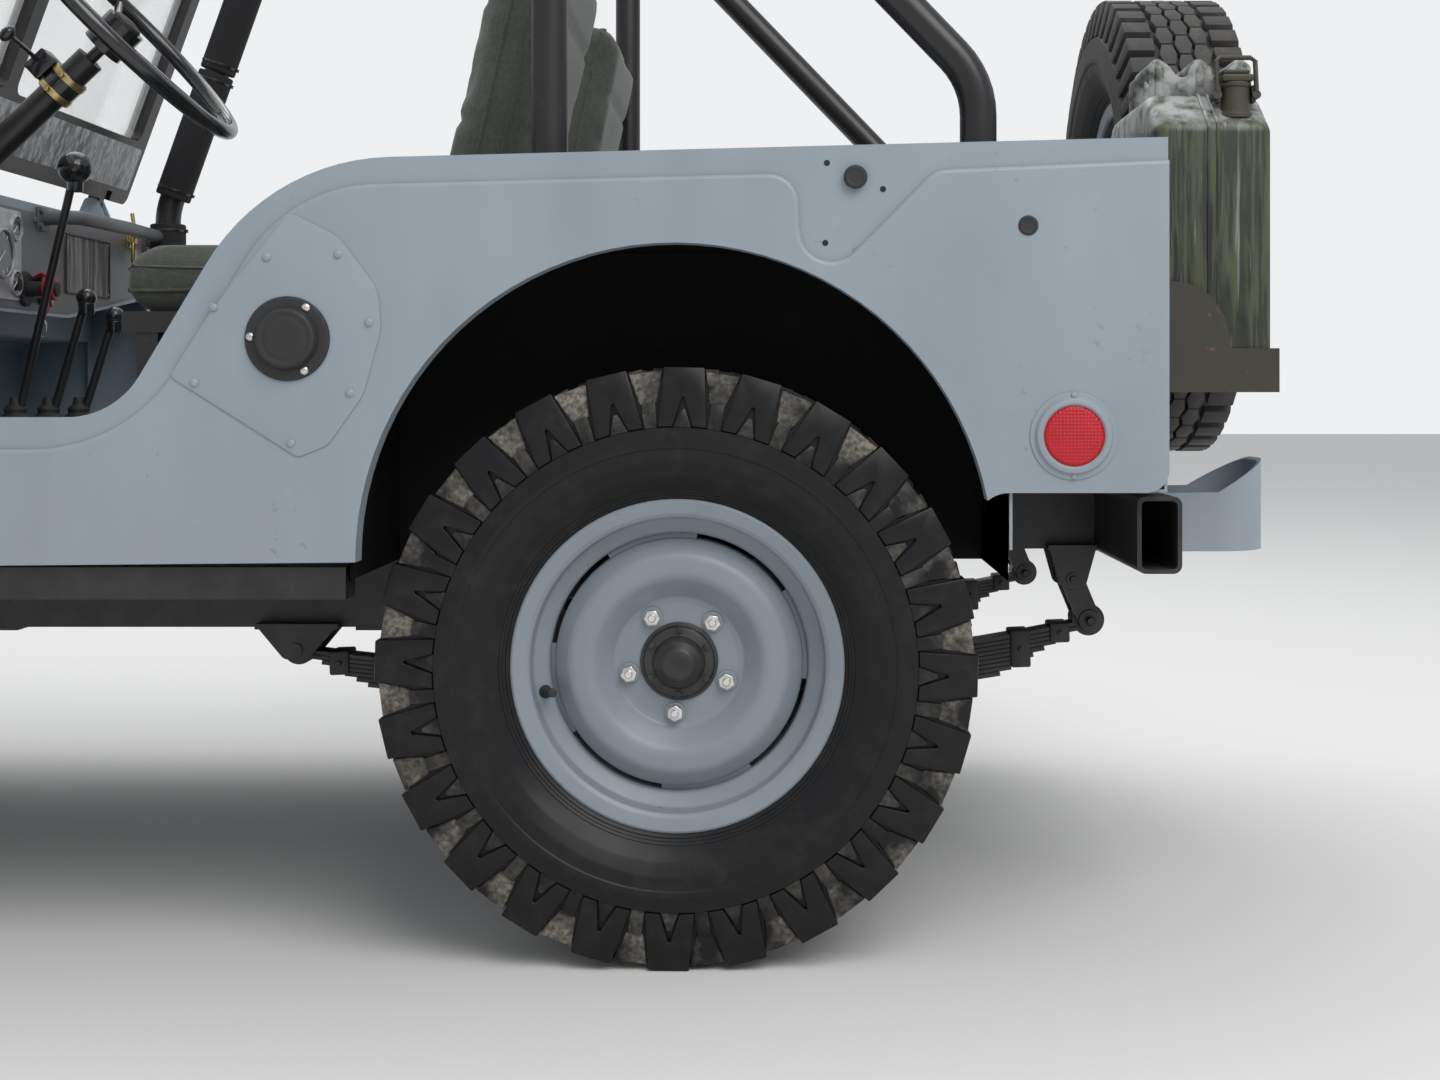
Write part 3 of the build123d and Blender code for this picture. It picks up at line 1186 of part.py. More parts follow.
controls = []
for foot, tip, knob in (
    ((319, 0, 700), (216, 0, 1150), 22),
    ((280, -45, 700), (215, -48, 930), 15),
    ((240, -78, 700), (180, -86, 900), 15),
):
    lever = bar(foot, tip, 7) + Pos(*tip) * Sphere(knob)
    controls.append(lever - block(0, 500, -200, 200, 600, TUNNEL_Z))
for y, z in ((430, 640), (300, 640), (215, 620)):
    pad = Pos(TOE_X - 190, y, z) * Rot(0, -35, 0) * Box(12, 62, 80)
    arm = bar((TOE_X - 190, y, z), (TOE_X + 5, y, z + 165), 8)
    controls.append((pad + arm) - block(TOE_X, TOE_X + 50, y - 50, y + 50, z, z + 300))
save("floor_controls", *controls)


# Jerry can and its carrier, spare wheel carrier
can_rear = REAR_PANEL_X - 8
can_mid = can_rear - CAN_D / 2
can_y0, can_y1 = CAN_Y - CAN_W / 2, CAN_Y + CAN_W / 2


def can_outline(edge):
    """The can from its side, with the slope that carries its neck."""
    return face_of([
        (can_y0 - edge, CAN_Z - edge, 34 + edge), (can_y1 + edge, CAN_Z - edge, 34 + edge),
        (can_y1 + edge, CAN_TOP - 52 + edge, 22), (can_y1 - 70, CAN_TOP + edge, 40),
        (can_y0 + 34, CAN_TOP + edge, 30), (can_y0 - edge, CAN_TOP - 26 + edge, 30),
    ])


can = along(can_outline(0), can_rear - CAN_D, can_rear)
can = fillet(can.faces().filter_by(Axis.X).edges(), CAN_ROUND)
can += along(can_outline(CAN_SEAM), can_mid - CAN_SEAM, can_mid + CAN_SEAM)
for share in (-1, 0, 1):
    handle_x = can_mid + share * HANDLE_STEP
    can += tube_path([
        (handle_x, HANDLE_Y - HANDLE_HALF, CAN_TOP - 8), (handle_x, HANDLE_Y - HANDLE_HALF, HANDLE_Z),
        (handle_x, HANDLE_Y + HANDLE_HALF, HANDLE_Z), (handle_x, HANDLE_Y + HANDLE_HALF, CAN_TOP - 8)],
        14, HANDLE_R)
neck_spot = (can_mid - 38, can_y1 - 34)
for z0, z1, radius in ((CAN_TOP - 60, CAN_TOP + 16, 20), (CAN_TOP + 8, CAN_TOP + 24, 25)):
    can += bar((*neck_spot, z0), (*neck_spot, z1), radius)
save("jerry_can", can)

TRAY_T = 6
LIP_H = 51               # height of the tray's lip on the can
hold = CAN_W / 2 + CAN_SEAM + SEAT_GAP
tray_y0, tray_y1 = CAN_Y - hold - CHEEK_T, CAN_Y + hold + CHEEK_T
tray_z = CAN_Z - CAN_SEAM - SEAT_GAP
lip_x = can_rear - CAN_D - TRAY_T
tray = block(lip_x, REAR_PANEL_X, tray_y0, tray_y1, tray_z - TRAY_T, tray_z)
tray += block(lip_x, lip_x + TRAY_T - 1, tray_y0, tray_y1, tray_z - 1, CAN_Z + LIP_H)
tray += block(can_rear + 3, REAR_PANEL_X, tray_y0, tray_y1, tray_z - 1, CAN_Z + 230)
for side in SIDES:
    cheek_y = CAN_Y + side * (hold + CHEEK_T / 2)
    cheek = face_of([(lip_x, tray_z - TRAY_T, 0), (REAR_PANEL_X, tray_z - TRAY_T, 0),
                     (REAR_PANEL_X, CAN_Z + 143, 0), (can_rear - 92, CAN_Z + 143, 78), (can_rear - 104, CAN_Z + LIP_H, 0),
                     (lip_x, CAN_Z + LIP_H, 0)])
    tray += across(cheek, cheek_y - CHEEK_T / 2, cheek_y + CHEEK_T / 2)
carrier_face = SPARE_X - DISH_FACE + DISC_T + SEAT_GAP
carrier = block(REAR_PANEL_X - 10, REAR_PANEL_X, SPARE_Y - 130, SPARE_Y + 130, 930, 1094)
carrier += bar((REAR_PANEL_X - 5, SPARE_Y, 1035), (carrier_face + 6, SPARE_Y, 1035), 45)
carrier += bar((carrier_face + 12, SPARE_Y, SPARE_Z), (carrier_face, SPARE_Y, SPARE_Z), 78)
save("rear_carriers", tray, carrier)

# Fuel filler plate, flange and cap on the left side
plate = face_of(ahead([
    (654, 786, 8), (488, 681, 14), (449, 697, 20), (403, 762, 60), (380, 847, 80), (384, 899, 60),
    (436, 968, 60), (500, 1000, 12), (599, 873, 200),
]))
filler = across(plate, BODY_HALF, BODY_HALF + 2)
filler_spot = (REAR_AXLE_X + 501, 835)
for radius, end in ((55, 6), (40, 20)):
    filler += bar((filler_spot[0], BODY_HALF + 1, filler_spot[1]), (filler_spot[0], BODY_HALF + end, filler_spot[1]), radius)
save("fuel_filler", filler)

# Side reflectors
for side in SIDES:
    spot = (REAR_AXLE_X - 518, 709)
    ring = bar((spot[0], side * BODY_HALF, spot[1]), (spot[0], side * (BODY_HALF + 4), spot[1]), 57)
    ring += bar((spot[0], side * (BODY_HALF + 3), spot[1]), (spot[0], side * (BODY_HALF + 10), spot[1]), 45)
    lamps.append(ring)
save("lamps", *lamps)

# Black rockers under the sills
rockers = []
for side in SIDES:
    inner_y, outer_y = side * (UPPER_HALF - 62), side * (UPPER_HALF - 8)
    rockers.append(block(REAR_AXLE_X + 430, COWL_X, min(inner_y, outer_y), max(inner_y, outer_y), 495, TUB_BOTTOM))
save("rocker_rails", *rockers)

# Fuel tank under the driver's seat
tank = block(REAR_LEG_X + 22, CUSHION_FRONT - 82, 190, 520, FLOOR_Z, 800)
save("fuel_tank", fillet(tank.edges().filter_by(Axis.Y), 30))
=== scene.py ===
"""Army 4x4 car: the finishes, tyres, wheels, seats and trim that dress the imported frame.

Sizes are in millimetres and become metres when a piece is shaped. +X points forward, +Y to the
car's left and +Z up. The origin lies on the ground under the middle of the car.
"""
import json
import logging
import math
from dataclasses import dataclass
from enum import Enum
from typing import Iterable, Optional, Sequence

import bmesh
import bpy
from mathutils import Matrix, Vector
from mathutils.bvhtree import BVHTree

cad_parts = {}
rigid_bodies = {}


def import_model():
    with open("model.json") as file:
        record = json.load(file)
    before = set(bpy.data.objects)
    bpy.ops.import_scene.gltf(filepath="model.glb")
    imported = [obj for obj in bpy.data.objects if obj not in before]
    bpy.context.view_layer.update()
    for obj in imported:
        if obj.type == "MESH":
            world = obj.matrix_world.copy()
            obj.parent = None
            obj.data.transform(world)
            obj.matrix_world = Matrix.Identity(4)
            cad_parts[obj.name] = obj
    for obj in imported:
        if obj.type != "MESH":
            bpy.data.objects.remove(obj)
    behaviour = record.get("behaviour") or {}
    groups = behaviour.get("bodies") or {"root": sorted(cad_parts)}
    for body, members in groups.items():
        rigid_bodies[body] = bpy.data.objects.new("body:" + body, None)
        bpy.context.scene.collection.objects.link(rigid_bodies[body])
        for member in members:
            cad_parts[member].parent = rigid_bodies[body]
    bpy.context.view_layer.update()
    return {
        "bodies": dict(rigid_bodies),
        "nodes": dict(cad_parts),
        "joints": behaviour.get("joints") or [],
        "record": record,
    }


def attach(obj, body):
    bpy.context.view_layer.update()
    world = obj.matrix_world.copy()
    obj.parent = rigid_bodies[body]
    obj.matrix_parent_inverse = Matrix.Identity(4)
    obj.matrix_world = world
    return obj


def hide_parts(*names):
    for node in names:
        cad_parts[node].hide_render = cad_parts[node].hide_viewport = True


LOG = logging.getLogger("car")
MM = 0.001
ROOT = "root"
Row = Sequence[float]
Rgb = tuple[float, float, float]
Outline = list[tuple[float, float]]
Part = bmesh.types.BMesh
Mesh = bpy.types.Mesh
Socket = bpy.types.NodeSocket
FLOAT = "NodeSocketFloat"
COLOUR = "NodeSocketColor"

REAR_AXLE_X = -855.0
FRONT_AXLE_X = 1202.0
TRACK_HALF = 623.0
AXLE_Z = 400.0
BODY_HALF = 760.0
SIDES = (1, -1)
# parts of a full turn on a tyre or a rim
WHEEL_STEPS = 96


def turned_by(angle: float, axis: str = "Z") -> Matrix:
    """A turn about one axis, in degrees."""
    return Matrix.Rotation(math.radians(angle), 4, axis)


def around(count: int, start: float = 0.0) -> list[Matrix]:
    """Even turns about Z, the first by the starting angle in degrees."""
    return [turned_by(start + 360.0 * step / count) for step in range(count)]


def placed(x: float = 0.0, y: float = 0.0, z: float = 0.0) -> Matrix:
    """A plain shift, given in millimetres."""
    return Matrix.Translation(Vector((x, y, z)) * MM)


class Facing(Enum):
    """Which way a shape's own +Z points once it is placed, as a turn about X or Y."""

    LEFT = (-90, "X")
    RIGHT = (90, "X")
    FRONT = (90, "Y")
    BACK = (-90, "Y")

    def at(self, x: float, y: float, z: float, roll: float = 0.0) -> Matrix:
        """Place a shape that faces this way.

        Args:
            x, y, z: where its own origin goes, in millimetres.
            roll: turn about its own Z first, in degrees.

        Returns:
            The placing matrix, in metres.
        """
        return placed(x, y, z) @ turned_by(*self.value) @ turned_by(roll)


# sign of Y, name and outboard facing of the car's two sides
HANDS = ((1, "left", Facing.LEFT), (-1, "right", Facing.RIGHT))


def only(items: Iterable, kind: type) -> list:
    """Those items that are of one kind."""
    return [item for item in items if isinstance(item, kind)]


def rounded(rows: Sequence[Row], closed: bool = False, steps: int = 5) -> Outline:
    """Round the corners of a run of points.

    Args:
        rows: two places and, if the corner is round, its radius.
        closed: whether the last point runs on to the first.
        steps: lines in each round corner.

    Returns:
        The points of the rounded run.
    """
    points: Outline = []
    count = len(rows)
    for index, row in enumerate(rows):
        corner = Vector(row[:2])
        radius = row[2] if len(row) > 2 else 0.0
        if radius <= 0 or (not closed and index in (0, count - 1)):
            points.append(tuple(corner))
            continue
        back = Vector(rows[index - 1][:2]) - corner
        on = Vector(rows[(index + 1) % count][:2]) - corner
        reach = min(radius / math.tan(back.angle(on) / 2), back.length * 0.49, on.length * 0.49)
        start, end = corner + back.normalized() * reach, corner + on.normalized() * reach
        for step in range(steps + 1):
            share = step / steps
            points.append(tuple(start.lerp(corner, share).lerp(corner.lerp(end, share), share)))
    return points


def oblong(u0: float, v0: float, u1: float, v1: float, radius: float, steps: int = 5) -> Outline:
    """The outline of a rectangle between two corners, with round corners."""
    return rounded([(u0, v0, radius), (u1, v0, radius), (u1, v1, radius), (u0, v1, radius)], True, steps)


def turned(rows: Sequence[Row], sweep: float = 360.0, steps: int = 64, closed: bool = True) -> Part:
    """Turn an outline about the shape's own Z.

    Args:
        rows: distance along the axis and radius, in millimetres.
        sweep: angle turned, in degrees.
        steps: parts of the turn.
        closed: whether the outline closes on itself rather than on the axis.

    Returns:
        The turned mesh.
    """
    part = bmesh.new()
    verts = [part.verts.new((radius * MM, 0, along * MM)) for along, radius in rows]
    pairs = list(zip(verts, verts[1:])) + ([(verts[-1], verts[0])] if closed else [])
    edges = [part.edges.new(pair) for pair in pairs]
    whole = abs(sweep - 360.0) < 1e-6
    bmesh.ops.spin(part, geom=verts + edges, cent=(0, 0, 0), axis=(0, 0, 1), angle=math.radians(sweep),
                   steps=steps, use_merge=whole, use_duplicate=False)
    bmesh.ops.remove_doubles(part, verts=part.verts, dist=1e-6)
    if not whole:
        rim = [edge for edge in part.edges if edge.is_boundary]
        bmesh.ops.holes_fill(part, edges=rim, sides=0)
    bmesh.ops.recalc_face_normals(part, faces=part.faces)
    return part


def lathed(rows: Sequence[Row], steps: int, hollow: bool = False, corners: int = 5) -> Part:
    """Turn an outline with round corners all the way round.

    Args:
        rows: distance along the axis, radius and, if the corner is round, its rounding.
        steps: parts of the turn.
        hollow: whether the outline closes on itself and leaves a bore.
        corners: lines in each round corner.

    Returns:
        The turned mesh.
    """
    return turned(rounded(rows, steps=corners), steps=steps, closed=hollow)


def pressed(outline: Sequence[Row], low: float, high: float, edge: float = 0.0, segments: int = 2) -> Part:
    """Raise a flat outline into a plate.

    Args:
        outline: points in the shape's own X and Y, in millimetres.
        low: height of its foot along Z.
        high: height of its face.
        edge: width of the rounding along its edges.
        segments: lines in that rounding.

    Returns:
        The plate.
    """
    part = bmesh.new()
    verts = [part.verts.new((u * MM, v * MM, low * MM)) for u, v in outline]
    edges = [part.edges.new(pair) for pair in zip(verts, verts[1:] + verts[:1])]
    face = bmesh.ops.contextual_create(part, geom=edges)["faces"]
    raised = bmesh.ops.extrude_face_region(part, geom=face, use_keep_orig=True)["geom"]
    bmesh.ops.translate(part, verts=only(raised, bmesh.types.BMVert), vec=(0, 0, (high - low) * MM))
    bmesh.ops.recalc_face_normals(part, faces=part.faces)
    if edge > 0:
        soften(part, edge, segments)
    return part


def soften(part: Part, width: float, segments: int = 2, sharper_than: float = 25.0) -> None:
    """Round the edges of a mesh that are sharper than an angle.

    Args:
        part: the mesh.
        width: width of the rounding, in millimetres.
        segments: lines in it.
        sharper_than: least angle between two faces, in degrees.
    """
    least = math.radians(sharper_than)
    sharp = [edge for edge in part.edges if edge.is_manifold and edge.calc_face_angle(0.0) > least]
    bmesh.ops.bevel(part, geom=sharp, offset=width * MM, segments=segments, profile=0.5, affect="EDGES",
                    clamp_overlap=True, material=-1)


def block(low: Row, high: Row, edge: float = 0.0, segments: int = 2) -> Part:
    """A box between two corners, in millimetres, with rounded edges."""
    part = bmesh.new()
    bmesh.ops.create_cube(part, size=1.0)
    bmesh.ops.scale(part, vec=[(b - a) * MM for a, b in zip(low, high)], verts=part.verts)
    bmesh.ops.translate(part, vec=[(a + b) / 2 * MM for a, b in zip(low, high)], verts=part.verts)
    if edge > 0:
        soften(part, edge, segments)
    return part


def rod(path: Sequence[Row], radius: float, sides: int = 12, closed: bool = False) -> Part:
    """A round bar along a path.

    Args:
        path: its middle line, in millimetres.
        radius: its radius.
        sides: flats round it.
        closed: whether the path runs round to its start.

    Returns:
        The bar.
    """
    part = bmesh.new()
    points = [Vector(point) * MM for point in path]
    count = len(points)
    heading = (points[1] - (points[-1] if closed else points[0])).normalized()
    start = Matrix.Translation(points[0]) @ heading.to_track_quat("Z", "Y").to_matrix().to_4x4()
    ring = bmesh.ops.create_circle(part, cap_ends=not closed, segments=sides, radius=radius * MM,
                                   matrix=start)
    opening = edges = list({edge for vert in ring["verts"] for edge in vert.link_edges})
    last = points[0]
    for index in range(1, count):
        on = points[(index + 1) % count] if closed or index < count - 1 else points[index]
        course = (on - points[index - 1]).normalized()
        out = bmesh.ops.extrude_edge_only(part, edges=edges)["geom"]
        verts = only(out, bmesh.types.BMVert)
        edges = [edge for edge in only(out, bmesh.types.BMEdge) if set(edge.verts) <= set(verts)]
        bmesh.ops.rotate(part, verts=verts, cent=last, matrix=heading.rotation_difference(course).to_matrix())
        bmesh.ops.translate(part, verts=verts, vec=points[index] - last)
        heading, last = course, points[index]
    if closed:
        bmesh.ops.bridge_loops(part, edges=edges + opening)
    else:
        bmesh.ops.contextual_create(part, geom=edges)
    bmesh.ops.recalc_face_normals(part, faces=part.faces)
    return part


def ball(radius: float, squash: float, fineness: int) -> Part:
    """A round knob, squashed along its own Z."""
    part = bmesh.new()
    bmesh.ops.create_uvsphere(part, u_segments=fineness, v_segments=fineness // 2, radius=radius * MM)
    bmesh.ops.scale(part, vec=(1, 1, squash), verts=part.verts)
    return part


def hexagon(flats: float, low: float, high: float, edge: float = 0.8) -> Part:
    """A hexagon nut or bolt head, given across its flats."""
    corner = flats / math.sqrt(3)
    turns = [math.radians(60 * step) for step in range(6)]
    return pressed([(corner * math.cos(turn), corner * math.sin(turn)) for turn in turns], low, high, edge)


def pan_head(radius: float, height: float) -> Part:
    """A domed screw head."""
    return lathed([(-0.5, 0), (-0.5, radius), (height * 0.35, radius), (height * 0.8, radius * 0.75),
                   (height, radius * 0.35), (height, 0)], 18)


class Workpiece:
    """One piece of the car while its mesh is put together."""

    def __init__(self, name: str) -> None:
        """Start an empty piece with its name."""
        self.name = name
        self.bm = bmesh.new()
        self.marks: list[tuple[int, int, float]] = []

    def add(self, part: Part, spot: Optional[Matrix] = None, mark: float = 0.0,
            keep: bool = False) -> "Workpiece":
        """Put a shape into the piece.

        Args:
            part: the shape, which is used up unless it is kept.
            spot: where it goes.
            mark: value written to the piece's mark attribute there.
            keep: whether the shape is needed again.

        Returns:
            The piece itself.
        """
        scratch = bpy.data.meshes.new("scratch")
        part.to_mesh(scratch)
        if not keep:
            part.free()
        if spot is not None:
            scratch.transform(spot)
        before = len(self.bm.verts)
        self.bm.from_mesh(scratch)
        self.marks.append((before, len(self.bm.verts), mark))
        bpy.data.meshes.remove(scratch)
        return self

    def repeat(self, part: Part, spots: Iterable[Matrix], mark: float = 0.0) -> "Workpiece":
        """Put the same shape into several places."""
        for spot in spots:
            self.add(part, spot, mark, keep=True)
        part.free()
        return self

    def mesh(self, smooth: float) -> Mesh:
        """Finish the mesh.

        Args:
            smooth: edges sharper than this many degrees stay sharp.

        Returns:
            The mesh, with its marks as a point attribute.
        """
        bmesh.ops.recalc_face_normals(self.bm, faces=self.bm.faces)
        mesh = bpy.data.meshes.new(self.name)
        self.bm.to_mesh(mesh)
        self.bm.free()
        mesh.shade_smooth()
        mesh.set_sharp_from_angle(angle=math.radians(smooth))
        values = [0.0] * len(mesh.vertices)
        for start, end, mark in self.marks:
            values[start:end] = [mark] * (end - start)
        mesh.attributes.new("mark", "FLOAT", "POINT").data.foreach_set("value", values)
        return mesh


@dataclass(frozen=True)
class Rider:
    """What a finished piece belongs to."""

    body: str
    slot: str
    replaced: tuple[str, ...] = ()


def install(name: str, mesh: Mesh, finish: bpy.types.Material, rider: Rider) -> bpy.types.Object:
    """Add a finished mesh to the car.

    Args:
        name: the piece's name.
        mesh: its mesh, in place.
        finish: its material.
        rider: the body it rides on and the nodes it stands for.

    Returns:
        The new object.
    """
    mesh.name = name
    piece = bpy.data.objects.new(name, mesh)
    bpy.context.scene.collection.objects.link(piece)
    mesh.materials.append(finish)
    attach(piece, rider.body)
    if rider.replaced:
        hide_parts(*rider.replaced)
    LOG.info("%s: %d faces on %s", name, len(mesh.polygons), rider.body)
    return piece


class Wiring:
    """A shader node tree while it is wired."""

    def __init__(self, tree: bpy.types.NodeTree) -> None:
        """Take a node tree."""
        self.tree = tree

    def add(self, kind: str, **inputs: object) -> bpy.types.Node:
        """Add a node.

        Args:
            kind: the node's type, without its ShaderNode prefix.
            inputs: values or sockets for inputs, by name with underscores for spaces, or for
                properties, by name.

        Returns:
            The node.
        """
        node = self.tree.nodes.new("ShaderNode" + kind)
        for name, value in inputs.items():
            if name in node.bl_rna.properties:
                setattr(node, name, value)
            else:
                self.feed(node, **{name: value})
        return node

    def feed(self, node: bpy.types.Node, **inputs: object) -> None:
        """Give values or sockets to a node's inputs, by name with underscores for spaces."""
        for name, value in inputs.items():
            label = name.replace("_", " ")
            target = next(socket for socket in node.inputs if socket.name == label and socket.enabled)
            self._join(target, value)

    def _join(self, target: Socket, value: object) -> None:
        """Link a socket to an input, or set the input to a value."""
        if isinstance(value, Socket):
            self.tree.links.new(value, target)
        else:
            target.default_value = value

    def where(self) -> Socket:
        """The place on the object, in metres."""
        return self.add("TexCoord").outputs["Object"]

    def split(self, vector: Socket) -> Sequence[Socket]:
        """The X, Y and Z of a vector."""
        return self.add("SeparateXYZ", Vector=vector).outputs

    def math(self, operation: str, first: object, second: object = 0.0) -> Socket:
        """The result of a sum on two values or sockets."""
        node = self.add("Math", operation=operation)
        for target, value in zip(node.inputs, (first, second)):
            self._join(target, value)
        return node.outputs[0]

    def times(self, first: object, second: object) -> Socket:
        """The product of two values or sockets."""
        return self.math("MULTIPLY", first, second)

    def blend(self, share: object, first: object, second: object) -> Socket:
        """A colour between two colours."""
        node = self.add("Mix", data_type="RGBA")
        for index, value in ((0, share), (6, first), (7, second)):
            self._join(node.inputs[index], value)
        return node.outputs[2]

    def lit(self, colour: object, gain: Socket) -> Socket:
        """A colour made lighter or darker."""
        return self.add("HueSaturation", Color=colour, Value=gain).outputs[0]

    def ranged(self, value: Socket, low: float, high: float, to_low: float = 0.0,
               to_high: float = 1.0) -> Socket:
        """A value spread from one range to another and held inside it."""
        node = self.add("MapRange", Value=value, From_Min=low, From_Max=high, To_Min=to_low, To_Max=to_high)
        return node.outputs[0]

    def noise(self, where: Socket, scale: float, detail: float, stretch: Optional[Row] = None) -> Socket:
        """The factor of a noise texture, stretched along some axes."""
        if stretch is not None:
            where = self.add("Mapping", Vector=where, Scale=stretch).outputs[0]
        return self.add("TexNoise", Vector=where, Scale=scale, Detail=detail).outputs[0]

    def bump(self, height: Socket, strength: float, depth: float) -> Socket:
        """The normal of a bumpy surface, its depth in metres."""
        return self.add("Bump", Height=height, Strength=strength, Distance=depth).outputs[0]

    def shade(self, **inputs: object) -> None:
        """Give values or sockets to the tree's surface shader."""
        self.feed(self.tree.nodes["Principled BSDF"], **inputs)


def new_group(name: str, takes: dict[str, object],
              gives: Sequence[str]) -> tuple[Wiring, Sequence[Socket], bpy.types.Node]:
    """Start a shader node group.

    Args:
        name: its name.
        takes: name and first value of each input, which is a colour or a number.
        gives: name of each output.

    Returns:
        The wiring, the sockets of its inputs and its output node.
    """
    tree = bpy.data.node_groups.new(name, "ShaderNodeTree")
    for label, value in takes.items():
        kind = COLOUR if isinstance(value, tuple) else FLOAT
        tree.interface.new_socket(name=label, in_out="INPUT", socket_type=kind).default_value = value
    for label in gives:
        kind = COLOUR if label == "Color" else FLOAT
        tree.interface.new_socket(name=label, in_out="OUTPUT", socket_type=kind)
    return Wiring(tree), tree.nodes.new("NodeGroupInput").outputs, tree.nodes.new("NodeGroupOutput")


def new_material(name: str) -> tuple[bpy.types.Material, Wiring]:
    """A new material and its wiring."""
    material = bpy.data.materials.new(name)
    material.use_nodes = True
    return material, Wiring(material.node_tree)


def rgba(colour: Rgb) -> tuple[float, float, float, float]:
    """A colour with its alpha."""
    return (*colour, 1.0)


class Groups:
    """The shader node groups that several finishes share."""

    GREY = rgba((0.3, 0.3, 0.3))

    def __init__(self) -> None:
        """Build each group once."""
        self.coat = self._coat()
        self.dust = self._dust()
        self.weave = self._weave()

    def _coat(self) -> bpy.types.NodeTree:
        """Sprayed paint: slight mottling, orange peel and small chips."""
        wiring, start, end = new_group(
            "sprayed coat",
            {"Paint": self.GREY, "Under": rgba((0.05, 0.05, 0.05)), "Mottle": 0.06, "Chips": 0.1,
             "Roughness": 0.45},
            ("Color", "Roughness", "Height"))
        where = wiring.where()
        cloud = wiring.noise(where, 3.5, 4.0)
        runs = wiring.noise(where, 9.0, 3.0, (1.0, 1.0, 0.12))
        shade = wiring.math("ADD", wiring.ranged(cloud, 0.3, 0.7, -1.0, 1.0),
                            wiring.ranged(runs, 0.35, 0.65, -0.6, 0.6))
        gain = wiring.math("ADD", wiring.times(shade, start["Mottle"]), 1.0)
        fine = wiring.ranged(wiring.noise(where, 90.0, 6.0), 0.66, 0.70)
        patch = wiring.ranged(wiring.noise(where, 7.0, 2.0), 0.52, 0.62)
        chip = wiring.times(wiring.times(fine, patch), start["Chips"])
        peel = wiring.times(wiring.noise(where, 420.0, 2.0), 0.25)
        rough = wiring.math("ADD", start["Roughness"], wiring.ranged(cloud, 0.3, 0.7, -0.05, 0.08))
        wiring.feed(end, Color=wiring.blend(chip, wiring.lit(start["Paint"], gain), start["Under"]),
                    Roughness=rough, Height=wiring.math("SUBTRACT", peel, chip))
        return wiring.tree

    def _dust(self) -> bpy.types.NodeTree:
        """Road dust that lies on low places and on faces that look up."""
        wiring, start, end = new_group(
            "road dust",
            {"Color": self.GREY, "Roughness": 0.5, "Dust": rgba((0.32, 0.28, 0.23)), "Low": 0.3, "Top": 0.15},
            ("Color", "Roughness"))
        where = wiring.where()
        up = wiring.split(wiring.add("NewGeometry").outputs["Normal"])[2]
        height = wiring.split(where)[2]
        low = wiring.times(wiring.ranged(height, 0.25, 0.8, 1.0, 0.0), start["Low"])
        top = wiring.times(wiring.ranged(up, 0.5, 1.0), start["Top"])
        grain = wiring.ranged(wiring.noise(where, 22.0, 8.0), 0.35, 0.7)
        mask = wiring.times(wiring.math("MAXIMUM", low, top), grain)
        wiring.feed(end, Color=wiring.blend(mask, start["Color"], start["Dust"]),
                    Roughness=wiring.math("ADD", start["Roughness"], wiring.times(mask, 0.5)))
        return wiring.tree

    @staticmethod
    def _weave() -> bpy.types.NodeTree:
        """Crossed threads seen from any side."""
        wiring, start, end = new_group("plain weave", {"Threads": 900.0}, ("Height", "Fleck"))
        where = wiring.where()
        total: object = 0.0
        for place in wiring.split(where):
            wave = wiring.math("SINE", wiring.times(place, start["Threads"]))
            total = wiring.math("ADD", wiring.math("ABSOLUTE", wave), total)
        wiring.feed(end, Height=wiring.times(total, 0.4), Fleck=wiring.noise(where, 160.0, 5.0))
        return wiring.tree


@dataclass(frozen=True)
class Painted:
    """A sprayed finish with its dust."""

    colour: Rgb
    under: Rgb = (0.05, 0.05, 0.05)
    roughness: float = 0.42
    mottle: float = 0.05
    chips: float = 0.25
    low_dust: float = 0.25
    top_dust: float = 0.15
    bump: float = 0.12

    PEEL_DEPTH = 0.0006

    def make(self, name: str, groups: Groups) -> bpy.types.Material:
        """Wire the material.

        Args:
            name: its name.
            groups: the shared node groups.

        Returns:
            The material.
        """
        material, wiring = new_material(name)
        coat = wiring.add("Group", node_tree=groups.coat, Paint=rgba(self.colour), Under=rgba(self.under),
                          Mottle=self.mottle, Chips=self.chips, Roughness=self.roughness).outputs
        dust = wiring.add("Group", node_tree=groups.dust, Color=coat["Color"], Roughness=coat["Roughness"],
                          Low=self.low_dust, Top=self.top_dust).outputs
        wiring.shade(Base_Color=dust["Color"], Roughness=dust["Roughness"],
                     Normal=wiring.bump(coat["Height"], self.bump, self.PEEL_DEPTH))
        return material


@dataclass(frozen=True)
class Woven:
    """A canvas or webbing finish."""

    colour: Rgb
    threads: float = 1500.0

    THREAD_DEPTH = 0.0008

    def make(self, name: str, groups: Groups) -> bpy.types.Material:
        """Wire the material and return it."""
        material, wiring = new_material(name)
        weave = wiring.add("Group", node_tree=groups.weave, Threads=self.threads).outputs
        fade = wiring.ranged(wiring.noise(wiring.where(), 5.0, 4.0), 0.3, 0.7, 0.78, 1.2)
        fleck = wiring.ranged(weave["Fleck"], 0.3, 0.7, 0.8, 1.2)
        thread = wiring.ranged(weave["Height"], 0.1, 0.8, 0.7, 1.1)
        gain = wiring.times(wiring.times(fade, fleck), thread)
        wiring.shade(Base_Color=wiring.lit(rgba(self.colour), gain), Roughness=0.9, Sheen_Weight=0.25,
                     Normal=wiring.bump(weave["Height"], 0.4, self.THREAD_DEPTH))
        return material


